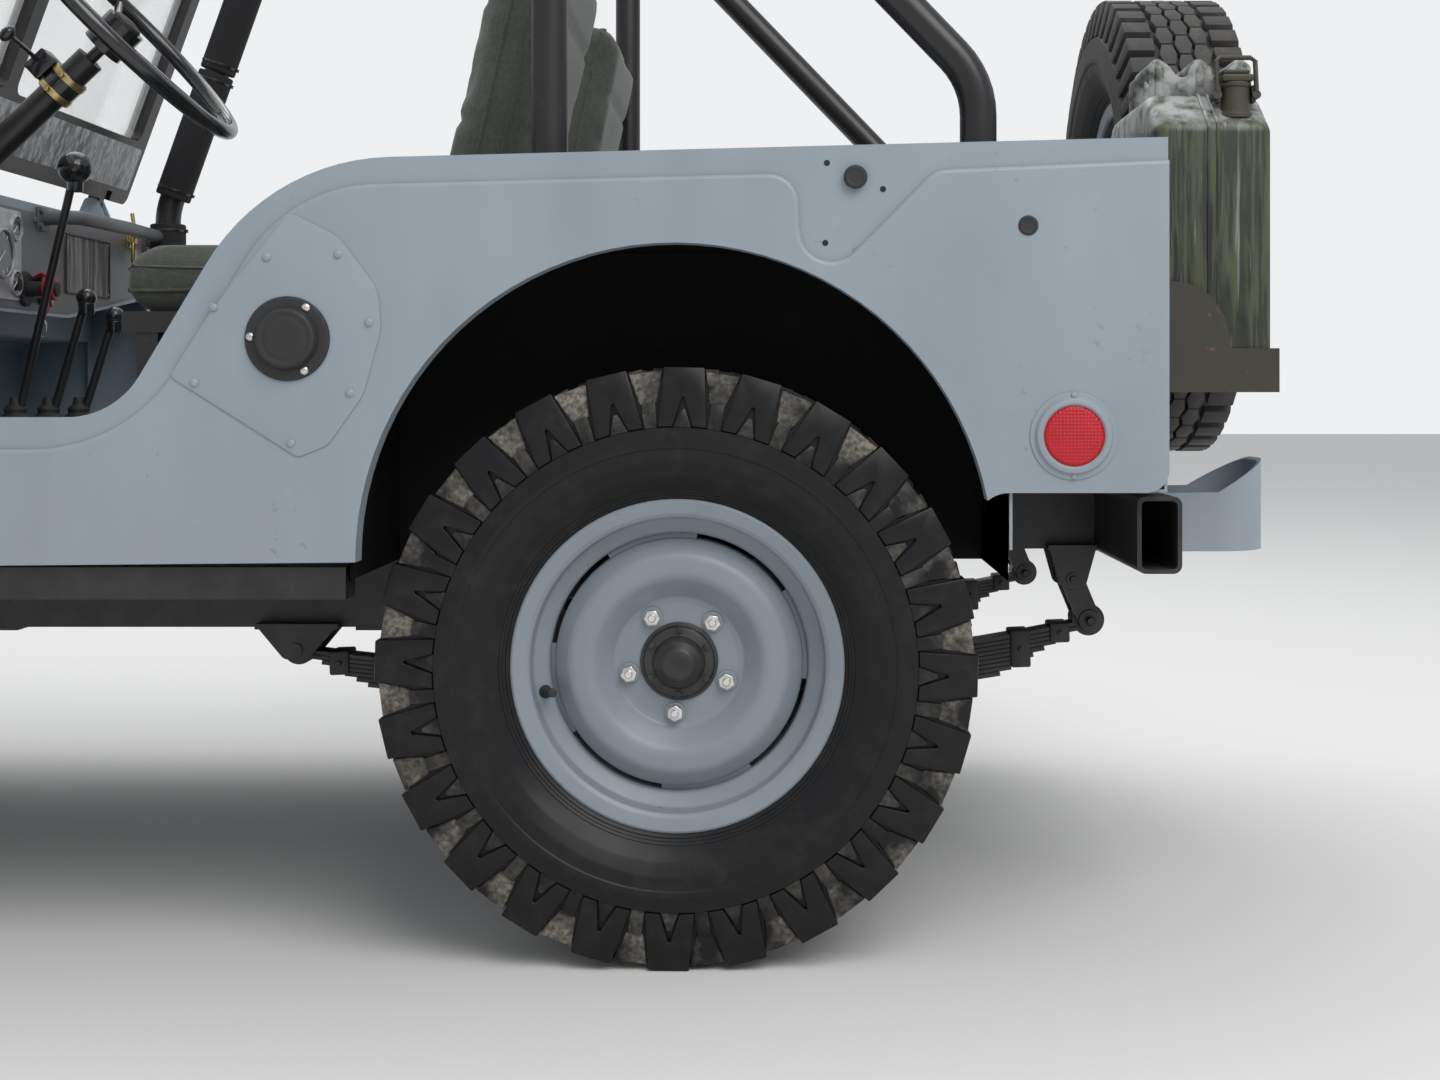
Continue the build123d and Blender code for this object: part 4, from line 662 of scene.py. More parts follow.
@dataclass(frozen=True)
class TyreRubber:
    """Dressed tyre rubber: dried mud where marked, and a pale tint of painted reflection where marked
    lightly.
    """

    colour: Rgb = (0.009, 0.009, 0.0095)
    roughness: float = 0.33
    mud_and_reflection_share: float = 0.85
    film: float = 0.05

    MUD = (0.30, 0.27, 0.23)
    WET_SHARE = 0.3
    MUD_DEPTH = 0.003

    def make(self, name: str, groups: Groups) -> bpy.types.Material:
        """Wire the material and return it."""
        material, wiring = new_material(name)
        where = wiring.where()
        mark = wiring.add("Attribute", attribute_name="mark").outputs["Fac"]
        crumbs = wiring.noise(where, 150.0, 8.0)
        # the mark gives dried mud, and on lightly marked recess floors a pale tint that is painted reflection
        mud_and_reflection_mask = wiring.times(wiring.ranged(wiring.noise(where, 14.0, 6.0), 0.40, 0.62), mark)
        film = wiring.times(wiring.ranged(wiring.noise(where, 30.0, 8.0), 0.5, 0.8), self.film)
        mask = wiring.math("MAXIMUM", wiring.times(mud_and_reflection_mask, self.mud_and_reflection_share), film)
        wet = tuple(channel * self.WET_SHARE for channel in self.MUD)
        tone = wiring.blend(wiring.ranged(crumbs, 0.35, 0.65), rgba(wet), rgba(self.MUD))
        bare = wiring.ranged(wiring.noise(where, 6.0, 3.0), 0.3, 0.7, self.roughness - 0.08,
                             self.roughness + 0.12)
        height = wiring.math("ADD", wiring.times(crumbs, mask), wiring.times(crumbs, 0.04))
        wiring.shade(Base_Color=wiring.blend(mask, rgba(self.colour), tone), Specular_IOR_Level=0.24,
                     Roughness=wiring.math("ADD", bare, wiring.times(mask, 0.5)),
                     Normal=wiring.bump(height, 0.6, self.MUD_DEPTH))
        return material


@dataclass(frozen=True)
class StreakedPaint:
    """Paint with dark and pale streaks that run down, and worn pale above a height in metres."""

    colour: Rgb = (0.060, 0.070, 0.034)
    dark: Rgb = (0.010, 0.011, 0.008)
    pale: Rgb = (0.30, 0.31, 0.30)
    top: float = 1.15

    STREAK_DEPTH = 0.001

    def make(self, name: str, groups: Groups) -> bpy.types.Material:
        """Wire the material and return it."""
        material, wiring = new_material(name)
        where = wiring.where()
        streak = wiring.noise(where, 60.0, 6.0, (1.0, 1.0, 0.07))
        blot = wiring.ranged(wiring.noise(where, 9.0, 6.0, (1.0, 1.0, 0.5)), 0.34, 0.50)
        fine = wiring.ranged(wiring.noise(where, 170.0, 6.0, (1.0, 1.0, 0.05)), 0.48, 0.58)
        dark = wiring.times(wiring.ranged(streak, 0.46, 0.56), blot)
        dark = wiring.math("MAXIMUM", dark, wiring.times(fine, 0.75))
        colour = wiring.blend(dark, rgba(self.colour), rgba(self.dark))
        thin = wiring.ranged(wiring.noise(where, 110.0, 4.0, (1.0, 1.0, 0.05)), 0.60, 0.70)
        colour = wiring.blend(wiring.times(thin, 0.5), colour, rgba(self.pale))
        edge = wiring.math("ADD", wiring.split(where)[2], wiring.times(streak, 0.05))
        worn = wiring.ranged(edge, self.top, self.top + 0.03)
        grain = wiring.ranged(wiring.noise(where, 40.0, 8.0), 0.35, 0.55)
        wiring.shade(Base_Color=wiring.blend(wiring.times(worn, grain), colour, rgba(self.pale)),
                     Roughness=0.42, Normal=wiring.bump(streak, 0.3, self.STREAK_DEPTH))
        return material


@dataclass(frozen=True)
class Plain:
    """A small finish with a little grain: metal, moulding, lens or glass."""

    colour: Rgb
    roughness: float = 0.4
    metallic: float = 0.0
    grain: float = 60.0
    vary: float = 0.15
    transmission: float = 0.0
    alpha: float = 1.0
    coat: float = 0.0
    ribs: float = 0.0

    RIB_DEPTH = 0.0015

    def make(self, name: str, groups: Groups) -> bpy.types.Material:
        """Wire the material and return it."""
        material, wiring = new_material(name)
        where = wiring.where()
        grain = wiring.noise(where, self.grain, 5.0)
        gain = wiring.ranged(grain, 0.3, 0.7, 1.0 - self.vary, 1.0 + self.vary)
        rough = wiring.ranged(grain, 0.3, 0.7, self.roughness * 0.85, self.roughness * 1.15)
        height, strength = grain, 0.05
        if self.ribs > 0:
            x, _, z = wiring.split(where)
            waves = [wiring.math("SINE", wiring.times(place, self.ribs)) for place in (x, z)]
            height, strength = wiring.math("MAXIMUM", *(wiring.math("ABSOLUTE", wave) for wave in waves)), 0.5
        wiring.shade(Base_Color=wiring.lit(rgba(self.colour), gain), Roughness=rough, Metallic=self.metallic,
                     Transmission_Weight=self.transmission, Alpha=self.alpha, Coat_Weight=self.coat,
                     Normal=wiring.bump(height, strength, self.RIB_DEPTH))
        return material


BLACK = (0.012, 0.012, 0.013)
# a height in metres that no piece reaches
OUT_OF_REACH = 9.0
FINISHES: dict[str, object] = {
    "body blue": Painted((0.262, 0.305, 0.343), roughness=0.4, low_dust=0.22, top_dust=0.1),
    # the body's blue made darker for the wheels: painted shade
    "wheel blue": Painted((0.215, 0.25, 0.28), roughness=0.38, low_dust=0.15, top_dust=0.05),
    "chassis black": Painted(BLACK, under=(0.10, 0.07, 0.05), roughness=0.42, mottle=0.25, low_dust=0.12),
    "cage black": Painted((0.014, 0.013, 0.014), under=(0.10, 0.09, 0.09), roughness=0.32, mottle=0.15,
                          low_dust=0.02, top_dust=0.05),
    "arch black": Painted((0.006, 0.0062, 0.007), roughness=0.7, mottle=0.3, low_dust=0.05, top_dust=0.02,
                          bump=0.6),
    "engine green": Painted((0.08, 0.10, 0.08), roughness=0.6, mottle=0.2),
    "carrier olive": Painted((0.034, 0.029, 0.019), under=(0.12, 0.05, 0.04), roughness=0.5, mottle=0.3,
                             chips=0.9),
    "canvas": Woven((0.058, 0.062, 0.05)),
    "webbing": Woven((0.05, 0.056, 0.045), threads=2600.0),
    "tyre rubber": TyreRubber(),
    "spare rubber": TyreRubber(colour=(0.06, 0.057, 0.055), roughness=0.7, mud_and_reflection_share=0.12, film=0.25),
    "can olive": StreakedPaint(),
    "bright steel": Plain((0.62, 0.61, 0.58), roughness=0.28, metallic=1.0, vary=0.2),
    "dull steel": Plain((0.28, 0.26, 0.24), roughness=0.55, metallic=0.9, vary=0.3),
    "brass": Plain((0.55, 0.42, 0.18), roughness=0.38, metallic=1.0, vary=0.25),
    "black rubber": Plain((0.02, 0.02, 0.021), roughness=0.65, grain=200.0),
    "black gloss": Plain(BLACK, roughness=0.22, coat=0.4),
    "foam pad": Plain((0.013, 0.013, 0.014), roughness=0.85, grain=500.0, vary=0.3),
    "red lens": Plain((0.44, 0.0, 0.008), roughness=0.36, ribs=700.0, vary=0.1),
    "amber lens": Plain((0.75, 0.26, 0.02), roughness=0.18, coat=0.6, ribs=600.0, vary=0.1),
    "clear lens": Plain((0.78, 0.80, 0.80), roughness=0.08, transmission=0.7, coat=0.5, ribs=420.0,
                        vary=0.05),
    "screen glass": Plain((0.92, 0.95, 0.94), roughness=0.03, transmission=1.0, alpha=0.35, vary=0.02),
    "dial face": Plain((0.015, 0.015, 0.016), roughness=0.3, coat=0.5),
    "dial white": Plain((0.75, 0.75, 0.72)),
    "red rubber": Plain((0.40, 0.02, 0.02), roughness=0.5),
    "worn plate": StreakedPaint((0.20, 0.19, 0.18), dark=(0.045, 0.042, 0.04), pale=(0.42, 0.41, 0.39),
                                top=OUT_OF_REACH),
    "stained steel": StreakedPaint((0.50, 0.50, 0.51), dark=(0.14, 0.14, 0.14), pale=(0.62, 0.62, 0.63),
                                   top=OUT_OF_REACH),
    "spring black": Plain((0.022, 0.022, 0.023), roughness=0.5, vary=0.4),
    "satin alloy": Plain((0.46, 0.46, 0.47), roughness=0.42, metallic=0.55),
    "dash grey": Painted((0.125, 0.125, 0.13), roughness=0.45, mottle=0.12, low_dust=0.05, top_dust=0.1),
}


class Palette:
    """The finishes as materials, each made when it is first asked for."""

    def __init__(self) -> None:
        """Build the shared node groups."""
        self.groups = Groups()
        self.made: dict[str, bpy.types.Material] = {}

    def __getitem__(self, name: str) -> bpy.types.Material:
        """The material of a finish."""
        if name not in self.made:
            self.made[name] = FINISHES[name].make(name, self.groups)
        return self.made[name]


NODE_FINISH: dict[str, tuple[str, ...]] = {
    "body blue": ("rear_bumperettes", "body_tub", "floor_pan", "load_bed", "cowl_panel", "grille_panel",
                  "front_wings", "bonnet"),
    "chassis black": ("chassis_frame", "cross_members", "rear_crossbar", "front_bumper", "rocker_rails",
                      "leaf_springs", "front_axle", "rear_axle", "knuckle_left", "knuckle_right", "tie_rod",
                      "propshafts", "fuel_tank", "radiator"),
    "cage black": ("roll_cage", "seat_frames", "steering_column", "windscreen_frame", "floor_controls"),
    "engine green": ("engine",),
    "dull steel": ("exhaust",),
    "screen glass": ("windscreen_glass",),
    "carrier olive": ("rear_carriers",),
    "black gloss": ("steering_wheel",),
}


def dress_nodes(nodes: dict[str, bpy.types.Object], palette: Palette) -> None:
    """Give each kept node its finish."""
    for finish, names in NODE_FINISH.items():
        for name in names:
            slots = nodes[name].material_slots
            for slot in slots:
                slot.material = palette[finish]
            if not slots:
                nodes[name].data.materials.append(palette[finish])
    LOG.info("dressed %d kept nodes", sum(len(names) for names in NODE_FINISH.values()))


class Studio:
    """Floor, soft light and a camera at the photograph's place, level and square to the car's side."""

    CAMERA = (-992.0, 3120.0, 766.0)
    LENS, SENSOR, FAR = 45.5, 36.0, 200.0
    SHIFT_X, SHIFT_Y = -60.0 / 1440.0, -148.0 / 1440.0
    FLOOR_HALF = 30.0
    AIM = Vector((-0.4, 0.3, 0.7))
    # name, place in metres, size in metres and power of each lamp
    LAMPS = (("key", (-3.5, 5.0, 6.0), 5.0, 330.0), ("top", (1.0, -2.5, 7.0), 6.0, 260.0))

    def build(self) -> None:
        """Add the camera, the floor and the lights."""
        self._camera()
        self._floor()
        self._lights()
        bpy.context.scene.view_settings.view_transform = "Standard"

    def _camera(self) -> None:
        """Add the camera."""
        data = bpy.data.cameras.new("camera")
        data.lens = self.LENS
        data.sensor_width = self.SENSOR
        data.clip_end = self.FAR
        camera = bpy.data.objects.new("camera", data)
        camera.location = Vector(self.CAMERA) * MM
        camera.rotation_euler = (math.radians(90.0), 0.0, math.radians(180.0))
        data.shift_x, data.shift_y = self.SHIFT_X, self.SHIFT_Y
        bpy.context.scene.collection.objects.link(camera)
        bpy.context.scene.camera = camera

    def _floor(self) -> None:
        """Add a pale floor."""
        part = bmesh.new()
        bmesh.ops.create_grid(part, x_segments=1, y_segments=1, size=self.FLOOR_HALF)
        mesh = bpy.data.meshes.new("floor")
        part.to_mesh(mesh)
        part.free()
        floor = bpy.data.objects.new("floor", mesh)
        bpy.context.scene.collection.objects.link(floor)
        material, wiring = new_material("floor")
        wiring.shade(Base_Color=rgba((0.72, 0.71, 0.69)), Roughness=0.85)
        mesh.materials.append(material)

    def _lights(self) -> None:
        """Add an even sky and two large soft lamps."""
        world = bpy.data.worlds.new("sky")
        bpy.context.scene.world = world
        world.use_nodes = True
        wiring = Wiring(world.node_tree)
        path = wiring.add("LightPath").outputs
        seen = wiring.math("MAXIMUM", path["Is Camera Ray"], path["Is Transmission Ray"])
        shade = wiring.blend(seen, rgba((0.62, 0.64, 0.67)), rgba((0.86, 0.87, 0.88)))
        wiring.feed(world.node_tree.nodes["Background"], Color=shade, Strength=1.0)
        for name, place, size, power in self.LAMPS:
            data = bpy.data.lights.new(name, "AREA")
            data.size = size
            data.energy = power
            lamp = bpy.data.objects.new(name, data)
            lamp.location = place
            lamp.rotation_euler = (self.AIM - Vector(place)).to_track_quat("-Z", "Y").to_euler()
            bpy.context.scene.collection.objects.link(lamp)


@dataclass(frozen=True)
class TreadPattern:
    """Sizes of a tyre and its tread. A share is a part of the pitch from one lug to the next."""

    lugs: int = 24
    lug_low: float = 321.0
    lug_top_share: float = 0.26
    lug_low_share: float = 0.385
    notch_share: float = 0.155
    notch_top: float = 360.0
    centre_rows: tuple[float, ...] = (-29.0, 0.0, 29.0)
    block_width: float = 30.0
    block_share: float = 0.86
    void_mark: float = 1.0
    radius: float = 400.0
    void_radius: float = 392.0
    side: float = 104.8
    widest: float = 107.5
    tread_half: float = 92.0
    void_inset: float = 8.5
    muddy: bool = True


class Tyre:
    """A tyre with moulded sidewalls and separate lugs, turned about its own Z."""

    BEAD_R = 203.5
    LUG_ROOT = 48.0
    STEP_RISE = 31.0
    # mark of the pads and steps in the shoulder gaps: a pale mud tint that is painted reflection in these
    # recesses
    PAINTED_REFLECTION_MARK = 0.3
    RIPPLE = 1.6 * MM

    def __init__(self, pattern: TreadPattern) -> None:
        """Take the tread's sizes."""
        self.pattern = pattern

    def _carcass(self) -> Part:
        """Sidewalls, from the bead out to the shoulder, and the floor of the tread."""
        pattern = self.pattern
        inner = pattern.tread_half - pattern.void_inset
        half = rounded([
            (55, self.BEAD_R), (60.5, 208, 3), (67.5, 224.5, 5), (70, 229, 2), (72.2, 229.5, 1), (74, 233, 1),
            (75.6, 233.4, 1), (77.5, 237, 1), (79.2, 237.4, 1), (93, 256, 30), (102.5, 276, 30),
            (105, 291, 4), (106.6, 292.5, 1), (pattern.widest, 299, 5),
            (pattern.side, pattern.lug_low - 2, 3)], steps=3)
        half += [(pattern.side - pattern.void_inset, pattern.lug_low + 2),
                 (inner + 3, pattern.void_radius - 7), (inner - 6, pattern.void_radius - 1)]
        rows = half + [(0.0, pattern.void_radius)] + [(-along, radius) for along, radius in reversed(half)]
        return turned(rows + [(-50, self.BEAD_R), (50, self.BEAD_R)], steps=WHEEL_STEPS)

    def _moulded(self, rows: Sequence[Row], sunk: float, edge: float, over_gap: bool = False) -> Part:
        """A form on the shoulder whose face follows the shoulder's slope.

        Args:
            rows: its outline, as shares of the pitch and radii.
            sunk: how far its face lies under the lugs' faces.
            edge: rounding of its edges.
            over_gap: whether it stands in a gap rather than on a lug.

        Returns:
            The form.
        """
        pattern = self.pattern
        outline = []
        for share, radius in rows:
            angle = 2 * math.pi * share / pattern.lugs
            outline.append((radius * math.sin(angle), radius * math.cos(angle)))
        part = pressed(outline, self.LUG_ROOT, pattern.side)
        slope = (pattern.side - pattern.tread_half) / (pattern.radius - pattern.lug_low)
        for vert in part.verts:
            if vert.co.z > pattern.tread_half * MM:
                vert.co.z = (pattern.side - sunk) * MM - (vert.co.y - pattern.lug_low * MM) * slope
        soften(part, edge, 2, 30.0)
        if over_gap:
            self._shift(part)
        return part

    def _shift(self, part: Part) -> None:
        """Turn a form by half the pitch, from over a lug to over a gap."""
        turn = Matrix.Rotation(-math.pi / self.pattern.lugs, 3, "Z")
        bmesh.ops.rotate(part, verts=part.verts, cent=(0, 0, 0), matrix=turn)

    def _lug(self) -> Part:
        """One shoulder lug, split into two legs at its foot."""
        pattern = self.pattern
        top, low, notch = pattern.lug_top_share, pattern.lug_low_share, pattern.notch_share
        rows = [(-top, pattern.radius), (top, pattern.radius), (low, pattern.lug_low)]
        if notch > 0:
            rows += [(notch, pattern.lug_low), (0.018, pattern.notch_top), (-0.018, pattern.notch_top),
                     (-notch, pattern.lug_low)]
        return self._moulded(rows + [(-low, pattern.lug_low)], 0.0, 1.8)

    def _tapered(self, low_share: float, low: float, high_share: float, high: float) -> Outline:
        """An outline with level ends, from its half widths and its heights above the lugs' feet."""
        low, high = self.pattern.lug_low + low, self.pattern.lug_low + high
        return [(-low_share, low), (low_share, low), (high_share, high), (-high_share, high)]

    def _mud(self) -> Part:
        """Dried mud packed in a gap above its step."""
        part = self._moulded(self._tapered(0.125, self.STEP_RISE, 0.225, 74), 5.0, 2.5)
        bmesh.ops.subdivide_edges(part, edges=part.edges[:], cuts=1, use_grid_fill=True)
        for vert in part.verts:
            if vert.co.z > 80 * MM:
                vert.co.z += self.RIPPLE * math.sin(vert.co.x * 520 + vert.co.y * 310)
        self._shift(part)
        return part

    def _centre_block(self) -> Part:
        """One hexagon block of the middle rows, with its corners on the tread's circle, facing +X."""
        pattern = self.pattern
        half = 2 * math.pi * pattern.radius / pattern.lugs * pattern.block_share / 2
        width = pattern.block_width
        outline = [(-width / 2, 0), (-width * 0.3, half), (width * 0.3, half), (width / 2, 0),
                   (width * 0.3, -half), (-width * 0.3, -half)]
        return pressed(outline, pattern.void_radius - 6, math.sqrt(pattern.radius ** 2 - half ** 2), 1.5)

    def mesh(self, name: str) -> Mesh:
        """Build the whole tyre.

        Args:
            name: the mesh's name.

        Returns:
            The mesh, turned about its own Z.
        """
        pattern = self.pattern
        piece = Workpiece(name).add(self._carcass())
        turns, half_turns = around(pattern.lugs), around(pattern.lugs, 180.0 / pattern.lugs)
        both = turns + [turned_by(180, "Y") @ turn for turn in half_turns]
        piece.repeat(self._lug(), both)
        if pattern.muddy:
            pad = self._moulded(self._tapered(pattern.notch_share, -3, 0.03, 24), 3.0, 1.0)
            step = self._moulded(self._tapered(0.105, -3, 0.1, 33), 2.6, 1.0, over_gap=True)
            # pads and steps get a light mark, painted reflection on the recess floors
            piece.repeat(pad, both, self.PAINTED_REFLECTION_MARK).repeat(step, both, self.PAINTED_REFLECTION_MARK)
            piece.repeat(self._mud(), both, 1.0)
        upright = Facing.FRONT.at(0, 0, 0)
        piece.repeat(self._centre_block(), [
            turn @ placed(0, 0, along) @ upright for row, along in enumerate(pattern.centre_rows)
            for turn in (half_turns if row % 2 else turns)])
        mesh = piece.mesh(38.0)
        self._mark_voids(mesh)
        return mesh

    def _mark_voids(self, mesh: Mesh) -> None:
        """Mark the tread's floor, where mud stays."""
        pattern = self.pattern
        marks = mesh.attributes["mark"].data
        for vert in mesh.vertices:
            depth = pattern.void_radius - math.hypot(vert.co.x, vert.co.y) / MM
            if -1 < depth < 3 and abs(vert.co.z) < pattern.tread_half * MM:
                marks[vert.index].value = pattern.void_mark


@dataclass(frozen=True)
class WheelPlace:
    """Where a road wheel stands."""

    name: str
    x: float
    side: int
    roll: float

    def spot(self) -> Matrix:
        """The matrix that takes a wheel's own Z to the outboard side."""
        facing = Facing.LEFT if self.side > 0 else Facing.RIGHT
        return facing.at(self.x, self.side * TRACK_HALF, AXLE_Z, self.roll)


WHEEL_PLACES = (
    WheelPlace("front_left", FRONT_AXLE_X, 1, 20.0),
    WheelPlace("front_right", FRONT_AXLE_X, -1, 47.0),
    WheelPlace("rear_left", REAR_AXLE_X, 1, -1.5),
    WheelPlace("rear_right", REAR_AXLE_X, -1, 8.0),
)
SPARE_SPOT = Facing.BACK.at(-1653.0, -150.0, 1060.0, 20.0)


class SteelWheel:
    """A pressed steel wheel with its dish, slots, hub, nuts and valve."""

    NUT_CIRCLE, NUTS, NUT_START = 69.85, 5, 15.0
    SLOTS, SLOT_START, SLOT_SWEEP = 4, 59.5, 48.0
    DISC_R, WELL_R = 168.0, 175.0
    VALVE_TURN, VALVE_R, VALVE_LEAN = 13.9, 186.0, -25.0
    SMOOTH = 35.0

    def _rim(self) -> Part:
        """The rolled rim, as one closed section."""
        well = self.WELL_R
        return turned(rounded([
            (-64, 205), (-61, 222, 4), (-68.5, 223.5, 2), (-70.5, 220, 3), (-66, 204, 8), (-62, 199, 5),
            (-40, 197.5, 6), (-30, well, 8), (26, well, 8), (38, 196.5, 6), (62, 198, 5), (66, 204, 8),
            (70.5, 220, 3), (68.5, 223.8, 2), (61, 222, 4), (57.5, 202.7, 6), (34, 201.5, 6),
            (24, well + 4, 8), (-28, well + 4, 8), (-38, 201.5, 6), (-57.5, 202.7, 6)],
            closed=True, steps=4), steps=WHEEL_STEPS)

    def _dish(self) -> Part:
        """The dished disc with its raised ring and the recess round the hub."""
        face = rounded([(10, self.DISC_R + 1), (26, self.DISC_R, 8), (48.5, 146, 22), (50, 118, 26),
                        (22, 88, 12), (20, 80, 4), (20, 40)], steps=6)
        back = rounded([(15, 40), (15, 84, 6), (44, 120, 22), (43, 142, 18), (22, self.DISC_R - 5, 6),
                        (10, self.DISC_R - 4)], steps=6)
        return turned(face + back, steps=WHEEL_STEPS)

    def mesh(self, name: str) -> Mesh:
        """The painted rim and dish. Between each two slots the disc's edge reaches the rim."""
        piece = Workpiece(name).add(self._rim()).add(self._dish())
        rows = [(10, self.DISC_R - 4), (21, self.DISC_R - 1), (17, self.WELL_R + 1), (8, self.WELL_R + 1)]
        for spot in around(self.SLOTS, self.SLOT_START + self.SLOT_SWEEP / 2):
            piece.add(turned(rows, sweep=360.0 / self.SLOTS - self.SLOT_SWEEP, steps=12), spot)
        boss = turned(rounded([(19, 11), (24, 15.5, 2), (24, 9)]) + [(19, 9)], steps=16)
        return piece.repeat(boss, self._nut_spots()).mesh(self.SMOOTH)

    def _nut_spots(self) -> list[Matrix]:
        """Where the wheel nuts sit."""
        return [turn @ placed(self.NUT_CIRCLE) for turn in around(self.NUTS, self.NUT_START)]

    def hub_mesh(self, name: str) -> Mesh:
        """The black hub flange, cap and brake drum."""
        piece = Workpiece(name).add(lathed([
            (20, 0), (20, 53), (24, 53, 1), (25, 49, 1), (31, 47, 3), (33, 40, 2), (34, 36, 1), (40, 34.5, 2),
            (50, 31, 6), (60, 20, 10), (62, 0)], 48))
        for spot in around(6, 30.0):
            piece.add(hexagon(9.0, 0.0, 4.0, 0.5), spot @ placed(43.0, 0, 31.0))
        drum = rounded([(-64, 24), (-64, 140, 3), (-40, 141, 2), (-36, 136, 2), (-8, 134, 10), (4, 118, 6),
                        (5, 40)])
        piece.add(turned(drum + [(5, 24)], steps=72))
        return piece.mesh(self.SMOOTH)

    def trim_mesh(self, name: str) -> Mesh:
        """The nuts with their stud ends."""
        stud = lathed([(30, 0), (30, 5.5), (36, 5.5), (37, 4.5), (37, 0)], 16)
        piece = Workpiece(name).repeat(hexagon(20.0, 19.0, 33.0, 1.4), self._nut_spots())
        return piece.repeat(stud, self._nut_spots()).mesh(self.SMOOTH)

    def valve_mesh(self, name: str) -> Mesh:
        """The valve in its rubber seat."""
        stem = lathed([(0, 0), (0, 9), (4, 9, 1), (12, 5.5, 2), (24, 5), (24, 6), (36, 6, 1), (37, 0)], 20)
        spot = turned_by(self.VALVE_TURN) @ placed(self.VALVE_R, 0, 30.0) @ turned_by(self.VALVE_LEAN, "Y")
        return Workpiece(name).add(stem, spot).mesh(self.SMOOTH)


class Trim:
    """A group of pieces dressed from one palette."""

    # edges sharper than this many degrees stay sharp
    SMOOTH = 35.0

    def __init__(self, palette: Palette) -> None:
        """Take the finishes."""
        self.palette = palette

    def fit(self, piece: Workpiece, finish: str, slot: str, body: str = ROOT, nodes: tuple[str, ...] = (),
            smooth: Optional[float] = None) -> None:
        """Finish a piece and install it.

        Args:
            piece: the piece, which is used up.
            finish: name of its finish.
            slot: its slot, kept on the rider and not used.
            body: the body it rides on.
            nodes: the nodes it stands for.
            smooth: its own smoothing angle, if it isn't the group's.
        """
        install(piece.name, piece.mesh(smooth or self.SMOOTH), self.palette[finish], Rider(body, slot, nodes))


class Wheels(Trim):
    """The four road wheels and the spare."""

    SPARE_TREAD = TreadPattern(
        lugs=48, lug_low=338.0, lug_top_share=0.33, lug_low_share=0.27, notch_share=0.0,
        centre_rows=(-28.0, 0.0, 28.0), block_width=29.0, block_share=0.93, void_mark=0.4, muddy=False,
        void_inset=7.0, void_radius=387.0)

    def _stand(self, name: str, mesh: Mesh, spot: Matrix, finish: str, rider: Rider) -> None:
        """Install a copy of a shape at a wheel's place."""
        copy = mesh.copy()
        copy.transform(spot)
        install(name, copy, self.palette[finish], rider)

    def build(self) -> None:
        """Place every wheel, hub, nut, valve and tyre."""
        wheel = SteelWheel()
        shapes = {
            # the rims take the darker copy of the body's blue, painted shade
            "rim": (wheel.mesh("rim"), "wheel blue", "body_paint"),
            "hub": (wheel.hub_mesh("hub"), "chassis black", "black_paint"),
            "nuts": (wheel.trim_mesh("nuts"), "bright steel", "bare_steel"),
            "valve": (wheel.valve_mesh("valve"), "black rubber", "tyre_rubber"),
            "lugged_tyre": (Tyre(TreadPattern()).mesh("lugged_tyre"), "tyre rubber", "tyre_rubber"),
        }
        stands_for = {"rim": "wheel_{}", "lugged_tyre": "tyre_{}"}
        for place in WHEEL_PLACES:
            for kind, (mesh, finish, slot) in shapes.items():
                nodes = (stands_for[kind].format(place.name),) if kind in stands_for else ()
                rider = Rider("wheel_" + place.name, slot, nodes)
                self._stand(f"{kind}_{place.name}", mesh, place.spot(), finish, rider)
        for kind, nodes in (("rim", ("spare_wheel",)), ("valve", ())):
            mesh, finish, slot = shapes[kind]
            self._stand(f"{kind}_spare", mesh, SPARE_SPOT, finish, Rider(ROOT, slot, nodes))
        tyre = Tyre(self.SPARE_TREAD).mesh("spare_block_tyre")
        tyre.transform(SPARE_SPOT)
        install(tyre.name, tyre, self.palette["spare rubber"], Rider(ROOT, "tyre_rubber", ("spare_tyre",)))
        for mesh, _, _ in shapes.values():
            bpy.data.meshes.remove(mesh)


